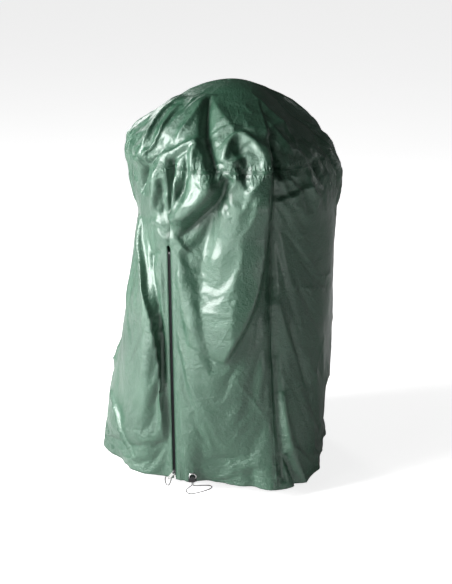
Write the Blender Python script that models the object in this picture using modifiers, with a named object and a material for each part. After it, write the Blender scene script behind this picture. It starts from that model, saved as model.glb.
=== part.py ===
"""Grill cover: a domed cloth hood sewn to a long zipped skirt with a drawcord hem.

Z is up. The origin is the centre of the cover's mouth, in the plane of the hem.
The zip runs up the -Y side. Angles go round from -Y towards +X, in degrees.
"""
import math

import bmesh
import bpy
from mathutils import Vector
from mathutils.bvhtree import BVHTree

# Whole cover
SHOULDER_Z = 0.875
CROWN_RISE = 0.172
RIDGE_ANGLE = 120.0
FRONT_SEAM = 55.0
BACK_SEAM = 208.0

# Cloth. Each layer is modelled thicker than the real 0.4 mm.
CLOTH = 0.0020
SEAM_GAP = 0.0007
LAYER_GAP = 0.0004
BINDING = 0.0010
BINDING_WIDTH = 0.020

# Hem
HEM_TALL = 0.036
HEM_DEEP = 0.0078
HEM_WALL = 0.0010
HEM_GAP = 0.0011
HEM_END = 0.019

# Zip, in its own frame: x across, y into the cover, z up along the teeth
ZIP_FOOT = Vector((0.0, -0.279, 0.0))
ZIP_HEAD = Vector((-0.022, -0.262, 0.820))
ZIP_TOP = 0.652
ZIP_CLOSES = 0.661
OPENING_HALF = 0.0053
TAPE_DEPTH = 0.0024
TAPE_THICK = 0.0008
TAPE_INNER = 0.0033
TAPE_OUTER = 0.0160
CHAIN_DEPTH = 0.0016
CHAIN_THICK = 0.0024
CHAIN_BOTTOM = 0.0176
CHAIN_TOP = 0.640
TOOTH_PITCH = 0.012
SLIDER_BOTTOM = 0.0120
SLIDER_LONG = 0.0140
SLIDER_HALF = 0.0047
POST_LONG = 0.0045
ARCH_HALF = 0.0020
ARCH_LEG = 0.0012
ARCH_WIDE = 0.0016
PIVOT_Z = 0.0200
PIVOT_Y = -0.0017
TAB_TILT = 40.0
TAB_LONG = 0.031
TAB_WIDE = 0.0080
TAB_THICK = 0.0015
TAB_PIN_R = 0.0007

# Eyelet
EYELET_ANGLE = 11.3
EYELET_Z = 0.0175
EYELET_HOLE = 0.0070
EYELET_BORE = 0.0053

# Drawcord and its lock
CORD_R = 0.0013
STRAND_X = 0.0016
CORD_DROP = 35.0
CORD_RUN = 0.0246
LOCK_AT = 0.0096
LOCK_STRANDS = 0.0025
LOCK_R = 0.0065
LOCK_BORE = 0.0048
LOCK_LOW = -0.0085
LOCK_MOUTH = 0.0092
PLUNGER_R = 0.0044
PLUNGER_LOW = -0.0019
PLUNGER_HIGH = 0.0132
PRESS = 0.0030

# Radius of the hem round the mouth: the grill's feet push it out in places.
HEM_RING = (
    (0, 0.279), (25, 0.263), (42, 0.300), (57, 0.345), (76, 0.322), (100, 0.290),
    (140, 0.303), (190, 0.300), (235, 0.310), (280, 0.336), (306, 0.352),
    (323, 0.314), (341, 0.314),
)

# Higher up each section is near a circle: height, radius, and how far it leans.
SECTIONS = (
    (0.00, 0.304, -0.020), (0.30, 0.297, 0.000), (0.45, 0.291, 0.010),
    (0.62, 0.273, 0.026), (0.70, 0.268, 0.032), (0.79, 0.284, 0.030),
    (0.875, 0.279, 0.018),
)

CLOTH_GREEN = (0.105, 0.215, 0.150)
BLACK = (0.012, 0.012, 0.013)
SILVER = (0.66, 0.66, 0.65)


# ---------------------------------------------------------------- scene

def clear_scene():
    for thing in list(bpy.data.objects):
        bpy.data.objects.remove(thing, do_unlink=True)


def make_collection(name):
    made = bpy.data.collections.new(name)
    bpy.context.scene.collection.children.link(made)
    return made


def material(name, colour, roughness, metallic=0.0):
    made = bpy.data.materials.new(name)
    made.use_nodes = True
    shader = made.node_tree.nodes["Principled BSDF"]
    shader.inputs["Base Color"].default_value = (*colour, 1.0)
    shader.inputs["Roughness"].default_value = roughness
    shader.inputs["Metallic"].default_value = metallic
    return made


def add_node(name, mesh, colour, roughness=0.6, metallic=0.0):
    """Put a mesh in the part's collection as one named piece with its own material."""
    piece = bpy.data.objects.new(name, mesh)
    PARTS.objects.link(piece)
    piece.data.materials.clear()
    piece.data.materials.append(material(name, colour, roughness, metallic))
    return piece


def mesh_from(bm, name):
    bm.normal_update()
    bmesh.ops.recalc_face_normals(bm, faces=bm.faces)
    mesh = bpy.data.meshes.new(name)
    bm.to_mesh(mesh)
    bm.free()
    return mesh


def set_origin(piece, point):
    """Move a piece's origin to a point without moving its shape."""
    shift = Vector(point) - piece.location
    for vertex in piece.data.vertices:
        vertex.co -= shift
    piece.location = Vector(point)


# ---------------------------------------------------------------- shape

def eased(points, at):
    """Value at a height, eased between the listed ones."""
    if at <= points[0][0]:
        return points[0][1:]
    for low, high in zip(points, points[1:]):
        if at <= high[0]:
            part = (at - low[0]) / (high[0] - low[0])
            part = part * part * (3.0 - 2.0 * part)
            return [a + (b - a) * part for a, b in zip(low[1:], high[1:])]
    return points[-1][1:]


def ring_radius(angle):
    """Hem radius at an angle: a smooth closed curve through HEM_RING."""
    count = len(HEM_RING)
    angle = angle % 360.0
    first = max(i for i in range(count) if HEM_RING[i][0] <= angle)
    angles = []
    radii = []
    for step in (-1, 0, 1, 2):
        turn, place = divmod(first + step, count)
        angles.append(HEM_RING[place][0] + 360.0 * turn)
        radii.append(HEM_RING[place][1])
    span = angles[2] - angles[1]
    part = (angle - angles[1]) / span
    slope_a = (radii[2] - radii[0]) / (angles[2] - angles[0]) * span
    slope_b = (radii[3] - radii[1]) / (angles[3] - angles[1]) * span
    square = part * part
    cube = square * part
    return (radii[1] * (2 * cube - 3 * square + 1) + slope_a * (cube - 2 * square + part)
            + radii[2] * (3 * square - 2 * cube) + slope_b * (cube - square))


def zip_line(z):
    """Point on the middle of the zip at a height."""
    return ZIP_FOOT + (ZIP_HEAD - ZIP_FOOT) * (z / (ZIP_HEAD.z - ZIP_FOOT.z))


def zip_angle(z):
    point = zip_line(z)
    return math.degrees(math.atan2(point.x, -point.y))


def zip_axes():
    """Across, inward and up directions of the flat strip that carries the zip."""
    up = (ZIP_HEAD - ZIP_FOOT).normalized()
    middle = math.radians((zip_angle(0.0) + zip_angle(ZIP_HEAD.z)) / 2.0)
    inward = Vector((-math.sin(middle), math.cos(middle), 0.0))
    inward = (inward - up * inward.dot(up)).normalized()
    return inward.cross(up).normalized(), inward, up


def zip_point(x, y, z):
    across, inward, up = zip_axes()
    return ZIP_FOOT + across * x + inward * y + up * z


def radius_at(angle, z):
    radius, lean = eased(SECTIONS, z)
    upper = radius + lean * math.cos(math.radians(angle - RIDGE_ANGLE))
    share = max(0.0, 1.0 - z / 0.45) ** 1.6
    return upper + (ring_radius(angle) - upper) * share


def skirt_point(angle, z):
    """Outer face of the skirt, flat near the zip and round elsewhere."""
    turn = math.radians(angle)
    radius = radius_at(angle, z)
    curved = Vector((radius * math.sin(turn), -radius * math.cos(turn), z))
    off = (angle - zip_angle(z) + 180.0) % 360.0 - 180.0
    share = math.exp(-(off / 13.0) ** 4)
    if share < 1e-4:
        return curved
    line = zip_line(z)
    across = zip_axes()[0]
    flat = line + across * (math.radians(off) * line.to_2d().length)
    flat.z = z
    return curved + (flat - curved) * share


def hood_point(x, y):
    """Outer face of the hood over a unit disc: x runs along the ridge, y to the front."""
    out = min(1.0, math.hypot(x, y))
    angle = RIDGE_ANGLE - math.degrees(math.atan2(y, x))
    quarter = out * math.pi / 2.0
    rim = skirt_point(angle, SHOULDER_Z)
    share = math.sin(quarter) ** 1.18
    rise = CROWN_RISE * max(0.0, math.cos(quarter)) ** 1.24
    return Vector((rim.x * share, rim.y * share, SHOULDER_Z + rise))


# ---------------------------------------------------------------- cloth

def grid_mesh(name, columns, rows, place):
    """A grid sheet whose corners are placed by place(column share, row share)."""
    bm = bmesh.new()
    bmesh.ops.create_grid(bm, x_segments=columns, y_segments=rows, size=0.5)
    for vertex in bm.verts:
        vertex.co = place(vertex.co.x + 0.5, vertex.co.y + 0.5)
    mesh = bpy.data.meshes.new(name)
    bm.to_mesh(mesh)
    bm.free()
    return mesh


def add_sheet(name, mesh, thickness, flip=False):
    """A cloth sheet given a thickness on its inner side."""
    if flip:
        mesh.flip_normals()
    piece = add_node(name, mesh, CLOTH_GREEN)
    solid = piece.modifiers.new("thickness", "SOLIDIFY")
    solid.thickness = thickness
    solid.offset = -1.0
    solid.use_even_offset = True
    return piece


def apply_modifiers(piece):
    graph = bpy.context.evaluated_depsgraph_get()
    mesh = bpy.data.meshes.new_from_object(piece.evaluated_get(graph))
    piece.modifiers.clear()
    piece.data = mesh


HOOD_ROWS = (0.004, 0.11, 0.22, 0.34, 0.46, 0.58, 0.70, 0.81, 0.90, 0.96, 0.987, 1.0)


def hood_panel(name, sign):
    """Half of the dome, from just beside the crown down to the shoulder seam."""
    edge = 0.0014

    def place(u, v):
        turn = math.pi * u
        out = HOOD_ROWS[round(v * (len(HOOD_ROWS) - 1))]
        off = out * math.sin(turn) + edge * (1.0 - math.sin(turn))
        point = hood_point(out * math.cos(turn), sign * off)
        point.z += SEAM_GAP / 2.0
        return point
    mesh = grid_mesh(name, 24, len(HOOD_ROWS) - 1, place)
    return add_sheet(name, mesh, CLOTH, flip=sign < 0)


ROWS = (0.0005, 0.050, 0.110, 0.180, 0.260, 0.340, 0.420, 0.500, 0.580, 0.630, 0.657,
        0.668, 0.710, 0.750, 0.800, 0.850, SHOULDER_Z - 0.00035)


# Angles of the mesh columns, shared by every layer so that the layers nest
COLUMNS = (8.0, 14.6, *range(20, 55, 5), 52.8, 57.2, *range(60, 100, 5),
           *range(100, 280, 8), *range(280, 351, 5))


def zip_edge(z, side):
    """Angle of the cloth's edge beside the zip: it closes above the zip's head."""
    half = OPENING_HALF if z < ZIP_CLOSES else SEAM_GAP / 2.0
    return zip_angle(z) + side * math.degrees(half / zip_line(z).to_2d().length)


def seam_edge(angle, z, side):
    return angle + side * math.degrees(SEAM_GAP / 2.0 / radius_at(angle, z))


def columns_between(start, end):
    """The shared column angles that fall well inside two edges."""
    return [angle for angle in COLUMNS if start + 1.5 < angle < end - 1.5]


def skirt_panel(name, left, right, flat_left=0.0, flat_right=0.0):
    """A skirt panel between two edges, each a function of height giving an angle.

    Beside the zip one more column leans with the zip, so the cloth there stays flat.
    """
    inner = columns_between(max(left(0.0), left(SHOULDER_Z)) + flat_left,
                            min(right(0.0), right(SHOULDER_Z)) - flat_right)

    def angles(z):
        beside_left = [left(z) + flat_left] if flat_left else []
        beside_right = [right(z) - flat_right] if flat_right else []
        return [left(z)] + beside_left + inner + beside_right + [right(z)]

    def place(u, v):
        z = ROWS[round(v * (len(ROWS) - 1))]
        row = angles(z)
        return skirt_point(row[round(u * (len(row) - 1))], z)
    mesh = grid_mesh(name, len(angles(0.0)) - 1, len(ROWS) - 1, place)
    return add_sheet(name, mesh, CLOTH)


def skirt_panels():
    skirt_panel("skirt_front_panel", lambda z: zip_edge(z, 1),
                lambda z: seam_edge(FRONT_SEAM, z, -1), flat_left=3.6)
    skirt_panel("skirt_right_panel", lambda z: seam_edge(FRONT_SEAM, z, 1),
                lambda z: seam_edge(BACK_SEAM, z, -1))
    skirt_panel("skirt_left_panel", lambda z: seam_edge(BACK_SEAM, z, 1),
                lambda z: 360.0 + zip_edge(z, -1), flat_right=3.6)


def inset_skirt(angle, z, depth):
    """A point under the skirt's outer face, square to the face."""
    here = skirt_point(angle, z)
    side = skirt_point(angle + 0.5, z) - skirt_point(angle - 0.5, z)
    rise = skirt_point(angle, z + 0.002) - skirt_point(angle, z - 0.002)
    return here - side.cross(rise).normalized() * depth


def vertical_binding(name, seam, low, rows):
    """A tape inside one upright seam; seam gives its angle at a height."""
    half = math.degrees(BINDING_WIDTH / 2.0 / 0.285)
    high = SHOULDER_Z - 0.026
    depth = CLOTH + LAYER_GAP * 4.0

    def place(u, v):
        z = low + (high - low) * v
        return inset_skirt(seam(z) + half * (2.0 * u - 1.0), z, depth)
    return add_sheet(name, grid_mesh(name, 2, rows, place), BINDING)


def vertical_bindings():
    low = HEM_TALL + 0.004
    vertical_binding("seam_binding_front_right", lambda z: FRONT_SEAM, low, 18)
    vertical_binding("seam_binding_back", lambda z: BACK_SEAM, low, 18)
    vertical_binding("seam_binding_above_zip", zip_angle, ZIP_TOP + 0.006, 6)


def shoulder_binding():
    """A tape round the inside, over the gathered seam allowance."""
    depth = CLOTH + LAYER_GAP * 4.0
    low = SHOULDER_Z - 0.022
    high = SHOULDER_Z - 0.002
    start = FRONT_SEAM + 0.2

    def place(u, v):
        return inset_skirt(start + 359.6 * u, low + (high - low) * v, depth)
    return add_sheet("shoulder_seam_binding", grid_mesh("shoulder_seam_binding", 60, 1, place),
                     BINDING)


def ridge_binding():
    """A tape under the ridge seam, from shoulder to shoulder over the crown."""
    depth = CLOTH + LAYER_GAP * 3.0

    def place(u, v):
        across = 0.955 * (2.0 * u - 1.0)
        wide = 0.030 * (2.0 * v - 1.0)
        here = hood_point(across, wide)
        right = hood_point(across + 0.01, wide) - hood_point(across - 0.01, wide)
        front = hood_point(across, wide + 0.01) - hood_point(across, wide - 0.01)
        return here + right.cross(front).normalized() * depth
    return add_sheet("ridge_seam_binding", grid_mesh("ridge_seam_binding", 20, 2, place),
                     BINDING, flip=True)


HEM_SECTION = ((CLOTH + HEM_GAP, HEM_TALL), (HEM_DEEP, HEM_TALL - 0.006),
               (HEM_DEEP + 0.0012, HEM_TALL / 2.0), (HEM_DEEP, 0.0065),
               (CLOTH + HEM_GAP, 0.0005))


def hem_fold(name, start, end):
    """The turned-up hem: a strip inside the skirt, open towards it like a channel."""
    angles = [start] + columns_between(start, end) + [end]

    def place(u, v):
        depth, z = HEM_SECTION[round(v * 4)]
        return inset_skirt(angles[round(u * (len(angles) - 1))], z, depth)
    return add_sheet(name, grid_mesh(name, len(angles) - 1, 4, place), HEM_WALL, flip=True)


def hem_folds():
    end = math.degrees(HEM_END / 0.279)
    seam = 0.12
    hem_fold("hem_fold_front", end, FRONT_SEAM - seam)
    hem_fold("hem_fold_right", FRONT_SEAM + seam, BACK_SEAM - seam)
    hem_fold("hem_fold_left", BACK_SEAM + seam, 360.0 - end)


# ---------------------------------------------------------------- zip

def block_mesh(name, low, high):
    """A box between two corners in the zip's own frame."""
    bm = bmesh.new()
    bmesh.ops.create_cube(bm, size=1.0)
    for vertex in bm.verts:
        spot = [low[i] + (high[i] - low[i]) * (vertex.co[i] + 0.5) for i in range(3)]
        vertex.co = zip_point(*spot)
    return mesh_from(bm, name)


def zip_strip(name, side, inner, outer, depth, thick, span, colour):
    low = (side * inner, depth, span[0])
    high = (side * outer, depth + thick, span[1])
    return add_node(name, block_mesh(name, low, high), colour, 0.75)


def chain_outline(side):
    """Comb outline in x and z: a straight back with square teeth past the middle."""
    back = 0.0030
    root = 0.0015
    tip = -0.0012
    gap = 0.0003
    outline = [(back, CHAIN_BOTTOM), (back, CHAIN_TOP)]
    count = int((CHAIN_TOP - CHAIN_BOTTOM) / TOOTH_PITCH)
    half = TOOTH_PITCH / 2.0
    outline.append((root, CHAIN_TOP))
    for tooth in reversed(range(count)):
        low = CHAIN_BOTTOM + tooth * TOOTH_PITCH + (half if side > 0 else 0.0)
        outline.append((root, low + half - gap))
        outline.append((tip, low + half - gap))
        outline.append((tip, low + gap))
        outline.append((root, low + gap))
    outline.append((root, CHAIN_BOTTOM))
    return outline


def prism_mesh(name, outline, place, depth):
    """Extrude an outline of placed points along one vector into a closed body."""
    bm = bmesh.new()
    face = bm.faces.new([bm.verts.new(place(a, b)) for a, b in outline])
    made = bmesh.ops.extrude_face_region(bm, geom=[face])["geom"]
    moved = [item for item in made if isinstance(item, bmesh.types.BMVert)]
    bmesh.ops.translate(bm, verts=moved, vec=depth)
    return mesh_from(bm, name)


def zip_chain(name, side):
    mesh = prism_mesh(name, chain_outline(side),
                      lambda x, z: zip_point(side * x, CHAIN_DEPTH, z),
                      zip_axes()[1] * CHAIN_THICK)
    return add_node(name, mesh, BLACK, 0.35)


def join(piece, mesh, operation="UNION"):
    """Unite a mesh with a piece, or cut it away."""
    other = bpy.data.objects.new(mesh.name, mesh)
    CUTTERS.objects.link(other)
    boolean(piece, other, operation)


def boolean(piece, other, operation):
    other.display_type = "WIRE"
    other.hide_render = True
    step = piece.modifiers.new(other.name, "BOOLEAN")
    step.operation = operation
    step.solver = "EXACT"
    step.object = other


def slider_shell(name, face, step, lip, low, high):
    """One plate of the slider with its two lips, as an outline run up the zip."""
    half = SLIDER_HALF
    inner = TAPE_INNER + 0.0002
    outline = ((-half, face), (half, face), (half, lip), (inner, lip), (inner, step),
               (-inner, step), (-inner, lip), (-half, lip))
    return prism_mesh(name, outline, lambda x, y: zip_point(x, y, low),
                      zip_axes()[2] * (high - low))


def slider_arch():
    near = PIVOT_Z - ARCH_HALF
    far = PIVOT_Z + ARCH_HALF
    root = 0.0007
    under = PIVOT_Y - 0.0011
    top = under - 0.0012
    outline = ((root, near - ARCH_LEG), (top + 0.0004, near - ARCH_LEG), (top, near - 0.0006),
               (top, far + 0.0006), (top + 0.0004, far + ARCH_LEG), (root, far + ARCH_LEG),
               (root, far), (under, far), (under, near), (root, near))
    return prism_mesh("slider_arch", outline,
                      lambda y, z: zip_point(-ARCH_WIDE / 2.0, y, z),
                      zip_axes()[0] * ARCH_WIDE)


def zip_slider():
    low = SLIDER_BOTTOM
    high = low + SLIDER_LONG
    front = 0.0013
    back = 0.0043
    clear = 0.0003
    shell = slider_shell("zip_slider", 0.0001, front, TAPE_DEPTH - clear, low, high)
    piece = add_node("zip_slider", shell, BLACK, 0.3, 0.8)
    join(piece, block_mesh("slider_post", (-0.0012, front - 0.0006, low + 0.0003),
                           (0.0012, back + 0.0006, low + POST_LONG)))
    join(piece, slider_shell("slider_back", back + 0.0012, back,
                             TAPE_DEPTH + TAPE_THICK + clear, low, high))
    join(piece, slider_arch())
    apply_modifiers(piece)
    set_origin(piece, zip_point(0.0, 0.0, PIVOT_Z))
    return piece


def tab_axes():
    """Pull tab's own directions: along its pin, out of its face, and down its length."""
    across, inward, up = zip_axes()
    tilt = math.radians(TAB_TILT)
    down = -up * math.cos(tilt) - across * math.sin(tilt)
    return inward.cross(down).normalized(), inward, down


def cylinder(name, axis, centre, radius, length):
    bm = bmesh.new()
    bmesh.ops.create_cone(bm, cap_ends=True, segments=20, radius1=radius, radius2=radius,
                          depth=length)
    turn = Vector((0.0, 0.0, 1.0)).rotation_difference(axis).to_matrix()
    for vertex in bm.verts:
        vertex.co = centre + turn @ vertex.co
    return mesh_from(bm, name)


def tab_outline():
    """Fork at the pin end, plate below it and a round end, in pin and length."""
    half = TAB_WIDE / 2.0
    arm = 0.00295
    top = -0.0006
    fork = 0.0056
    centre = TAB_LONG - half + top
    outline = [(-half, top), (-arm, top), (-arm, fork), (arm, fork), (arm, top), (half, top)]
    for step in range(9):
        turn = math.pi * step / 8.0
        outline.append((half * math.cos(turn), centre + half * math.sin(turn)))
    return outline, centre


def zip_pull_tab():
    """A flat tab on its own pin, which turns under the slider's arch."""
    pin, inward, down = tab_axes()
    pivot = zip_point(0.0, PIVOT_Y, PIVOT_Z)
    face = pivot - inward * (TAB_THICK / 2.0)
    outline, centre = tab_outline()
    mesh = prism_mesh("zip_pull_tab", outline, lambda x, along: face + pin * x + down * along,
                      inward * TAB_THICK)
    piece = add_node("zip_pull_tab", mesh, SILVER, 0.25, 1.0)
    join(piece, cylinder("tab_pin", pin, pivot, TAB_PIN_R, 0.0068))
    join(piece, cylinder("tab_hole", inward, pivot + down * centre, 0.0019, 0.006),
         "DIFFERENCE")
    apply_modifiers(piece)
    set_origin(piece, pivot)
    return piece


def zip_parts():
    for side, word in ((-1, "left"), (1, "right")):
        zip_strip(f"zip_tape_{word}", side, TAPE_INNER, TAPE_OUTER, TAPE_DEPTH, TAPE_THICK,
                  (0.001, ZIP_TOP), BLACK)
        zip_strip(f"zip_facing_{word}", side, 0.0085, 0.0165, TAPE_DEPTH + TAPE_THICK
                  + LAYER_GAP, BINDING, (0.002, ZIP_TOP), CLOTH_GREEN)
        zip_chain(f"zip_chain_{word}", side)
        zip_strip(f"zip_stop_{word}", side, 0.0004, 0.0030, CHAIN_DEPTH, CHAIN_THICK,
                  (0.006, 0.0113), SILVER)
    low = (-0.0030, CHAIN_DEPTH, CHAIN_TOP + 0.0005)
    high = (0.0030, CHAIN_DEPTH + CHAIN_THICK, CHAIN_TOP + 0.0065)
    add_node("zip_top_stop", block_mesh("zip_top_stop", low, high), SILVER, 0.3, 1.0)
    zip_slider()
    zip_pull_tab()


# ---------------------------------------------------------------- hem hardware

def eyelet_frame():
    """The cloth's own facet under the eyelet: a point, right, outward and up."""
    graph = bpy.context.evaluated_depsgraph_get()
    panel = PARTS.objects["skirt_front_panel"].evaluated_get(graph)
    tree = BVHTree.FromObject(panel, graph)
    turn = math.radians(EYELET_ANGLE)
    outward = Vector((math.sin(turn), -math.cos(turn), 0.0))
    start = outward * 0.5 + Vector((0.0, 0.0, EYELET_Z))
    aside = Vector((0.0, 0.0, 1.0)).cross(outward) * 0.008
    above = Vector((0.0, 0.0, 0.008))
    sides = [tree.ray_cast(start + aside * a + above * b, -outward)[0]
             for a, b in ((1, 0), (-1, 0), (0, 1), (0, -1))]
    normal = (sides[0] - sides[1]).cross(sides[2] - sides[3]).normalized()
    normal = normal if normal.dot(outward) > 0.0 else -normal
    spot = tree.ray_cast(start, -outward)[0]
    right = Vector((0.0, 0.0, 1.0)).cross(normal).normalized()
    return spot, right, normal, normal.cross(right).normalized()


def from_eyelet(frame, x, out, up):
    spot, right, outward, upward = frame
    return spot + right * x + outward * out + upward * up


def lathe(name, frame, profile, colour, roughness, metallic):
    """Turn a closed radius and outward profile round the eyelet's axis."""
    bm = bmesh.new()
    ring = [bm.verts.new((radius, 0.0, height)) for radius, height in profile]
    face = bm.faces.new(ring)
    bmesh.ops.delete(bm, geom=[face], context="FACES_ONLY")
    sheet = bpy.data.meshes.new(name)
    bm.to_mesh(sheet)
    bm.free()
    spin = bpy.data.objects.new(f"{name}_profile", sheet)
    CUTTERS.objects.link(spin)
    screw = spin.modifiers.new("turn", "SCREW")
    screw.steps = 28
    screw.render_steps = 28
    screw.use_merge_vertices = True
    screw.merge_threshold = 0.00005
    graph = bpy.context.evaluated_depsgraph_get()
    mesh = bpy.data.meshes.new_from_object(spin.evaluated_get(graph))
    bpy.data.objects.remove(spin, do_unlink=True)
    for vertex in mesh.vertices:
        vertex.co = from_eyelet(frame, vertex.co.x, vertex.co.z, vertex.co.y)
    bm = bmesh.new()
    bm.from_mesh(mesh)
    bmesh.ops.remove_doubles(bm, verts=bm.verts, dist=0.00001)
    return add_node(name, mesh_from(bm, name), colour, roughness, metallic)


def eyelet(frame):
    bore = EYELET_BORE
    rim = ((bore, 0.0006), (bore + 0.0007, 0.0016), (bore + 0.0026, 0.0019),
           (0.0097, 0.0013), (0.0105, 0.0006), (0.0066, 0.0006),
           (0.0066, -0.0042), (0.0082, -0.0044), (0.0084, -0.0050), (bore, -0.0048))
    lathe("eyelet_rim", frame, rim, SILVER, 0.25, 1.0)
    washer = ((0.0069, -0.0030), (0.0095, -0.0030), (0.0095, -0.0038), (0.0069, -0.0038))
    lathe("eyelet_washer", frame, washer, SILVER, 0.3, 1.0)
    panel = PARTS.objects["skirt_front_panel"]
    spot, outward = frame[0], frame[2]
    join(panel, cylinder("eyelet_hole", outward, spot, EYELET_HOLE, 0.02), "DIFFERENCE")


def cord(name, points, radius=CORD_R):
    """A round cord along a path, closed at both ends."""
    curve = bpy.data.curves.new(name, "CURVE")
    curve.dimensions = "3D"
    curve.bevel_depth = radius
    curve.bevel_resolution = 2
    curve.use_fill_caps = True
    spline = curve.splines.new("POLY")
    spline.points.add(len(points) - 1)
    for place, point in enumerate(points):
        spline.points[place].co = (*point, 1.0)
    holder = bpy.data.objects.new(f"{name}_curve", curve)
    CUTTERS.objects.link(holder)
    graph = bpy.context.evaluated_depsgraph_get()
    mesh = bpy.data.meshes.new_from_object(holder.evaluated_get(graph))
    bpy.data.objects.remove(holder, do_unlink=True)
    bm = bmesh.new()
    bm.from_mesh(mesh)
    bmesh.ops.remove_doubles(bm, verts=bm.verts, dist=0.00001)
    return add_node(name, mesh_from(bm, name), BLACK, 0.7)


def smooth_path(points, per_span):
    """Points along a smooth curve through a few chosen ones."""
    ends = [points[0] * 2 - points[1]] + list(points) + [points[-1] * 2 - points[-2]]
    path = []
    for i in range(1, len(ends) - 2):
        a, b, c, d = ends[i - 1:i + 3]
        for step in range(per_span):
            t = step / per_span
            path.append(0.5 * (2 * b + (c - a) * t + (2 * a - 5 * b + 4 * c - d) * t * t
                               + (3 * b - a - 3 * c + d) * t ** 3))
    path.append(points[-1])
    return path


def drop_point(frame, x, along):
    """A point on the straight run of the cord below the eyelet."""
    slope = math.radians(CORD_DROP)
    return from_eyelet(frame, x, 0.0022 + along * math.cos(slope), -along * math.sin(slope))


# The loop under the lock, from one strand round to the other: right, outward, up (mm)
LOOP = ((-10, 25, -20), (-17, 25, -29), (-14, 23, -38), (-3, 22, -41.5), (14, 22, -38),
        (34, 23, -31), (48, 24, -24), (53, 25, -17), (46, 26, -12.5), (28, 26, -12),
        (11, 25, -14))


def drawcord_loop(frame):
    start = -STRAND_X
    end = STRAND_X
    near = [from_eyelet(frame, start, -0.0043, 0.0), from_eyelet(frame, start, 0.0, 0.0)]
    far = [from_eyelet(frame, end, 0.0, 0.0), from_eyelet(frame, end, -0.0043, 0.0)]
    out = [drop_point(frame, start, 0.0016), drop_point(frame, start, CORD_RUN)]
    back = [drop_point(frame, end, CORD_RUN), drop_point(frame, end, 0.0016)]
    bend = [from_eyelet(frame, x / 1000.0, y / 1000.0, z / 1000.0) for x, y, z in LOOP]
    curve = smooth_path([out[1]] + bend + [back[0]], 3)
    path = near + [out[0]] + curve + [back[1]] + far
    return cord("drawcord_loop", path)


def hem_cord():
    """The cord inside the hem, from beside the eyelet round the back to the zip."""
    depth = CLOTH + 0.0030
    start = EYELET_ANGLE + 3.2
    end = 360.0 - math.degrees((HEM_END + 0.001) / 0.279)
    angles = [start] + columns_between(start, end) + [end]
    points = [inset_skirt(angle, 0.012, depth) for angle in angles]
    return cord("drawcord_in_hem", points)


def cord_bight():
    """The small slack bight that hangs out of the hem left of the zip."""
    bend = ((-16.6, 7.8, 14), (-16.9, 11.8, 11.5), (-25, 13.5, 6), (-36, 13.0, -4),
            (-40, 12.0, -15), (-38, 11.5, -26), (-32, 11.5, -31), (-26, 11.5, -27),
            (-21, 11.5, -16), (-18, 11.0, -4), (-16, 9.5, 4))
    points = [zip_point(x / 1000.0, y / 1000.0, z / 1000.0) for x, y, z in bend]
    return cord("drawcord_bight", smooth_path(points, 2))


def lock_frame(frame):
    """The lock's own directions: barrel axis, along the strands, and square to both."""
    right = frame[1]
    along = (drop_point(frame, 0.0, 0.01) - drop_point(frame, 0.0, 0.0)).normalized()
    centre = drop_point(frame, 0.0, LOCK_AT) - right * LOCK_STRANDS
    return centre, right, along, right.cross(along).normalized()


def lock_cylinder(name, lock, radius, low, high, segments=20):
    centre, right, along, square = lock
    bm = bmesh.new()
    bmesh.ops.create_cone(bm, cap_ends=True, segments=segments, radius1=radius,
                          radius2=radius, depth=1.0)
    for vertex in bm.verts:
        u = low + (high - low) * (vertex.co.z + 0.5)
        vertex.co = centre + right * u + along * vertex.co.x + square * vertex.co.y
    return mesh_from(bm, name)


def lock_box(name, lock, low, high, long, thick):
    centre, right, along, square = lock
    bm = bmesh.new()
    bmesh.ops.create_cube(bm, size=1.0)
    for vertex in bm.verts:
        u = low + (high - low) * (vertex.co.x + 0.5)
        vertex.co = (centre + right * u + along * (vertex.co.y * long)
                     + square * (vertex.co.z * thick))
    return mesh_from(bm, name)


def cord_lock(frame):
    lock = lock_frame(frame)
    slot = 0.0031
    low = LOCK_STRANDS - slot
    high = LOCK_STRANDS + slot
    barrel = add_node("cord_lock_barrel", lock_cylinder("cord_lock_barrel", lock, LOCK_R,
                                                        LOCK_LOW, LOCK_MOUTH), BLACK, 0.4)
    join(barrel, lock_cylinder("lock_bore", lock, LOCK_BORE, LOCK_LOW + 0.0012,
                               LOCK_MOUTH + 0.002), "DIFFERENCE")
    join(barrel, lock_box("lock_slot", lock, low, high, 0.02, 0.0033), "DIFFERENCE")
    apply_modifiers(barrel)
    set_origin(barrel, lock[0])
    plunger = add_node("cord_lock_plunger", lock_cylinder(
        "cord_lock_plunger", lock, PLUNGER_R, PLUNGER_LOW, PLUNGER_HIGH), BLACK, 0.4)
    join(plunger, lock_box("plunger_slot", lock, low, high + PRESS + 0.0002, 0.02, 0.0033),
         "DIFFERENCE")
    apply_modifiers(plunger)
    set_origin(plunger, lock[0])
    lock_spring(lock)


def lock_spring(lock):
    centre, right, along, square = lock
    low = LOCK_LOW + 0.0012 + 0.0006
    high = PLUNGER_LOW - 0.0006
    turns = 3.5
    steps = 42
    points = []
    for step in range(steps + 1):
        turn = 2.0 * math.pi * turns * step / steps
        u = low + (high - low) * step / steps
        points.append(centre + right * u + along * (0.0033 * math.cos(turn))
                      + square * (0.0033 * math.sin(turn)))
    return cord("cord_lock_spring", points, 0.00028)


# ---------------------------------------------------------------- build

clear_scene()
PARTS = make_collection("grill_cover")
CUTTERS = make_collection("cutters")
CUTTERS.hide_render = True
hood_panel("hood_front_panel", 1)
hood_panel("hood_back_panel", -1)
skirt_panels()
ridge_binding()
shoulder_binding()
vertical_bindings()
hem_folds()
zip_parts()
FRAME = eyelet_frame()
eyelet(FRAME)
drawcord_loop(FRAME)
hem_cord()
cord_bight()
cord_lock(FRAME)
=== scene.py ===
"""Looks for a kettle grill cover: folded, coated cloth, its zip, seams, eyelet and drawcord."""

import math

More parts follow.
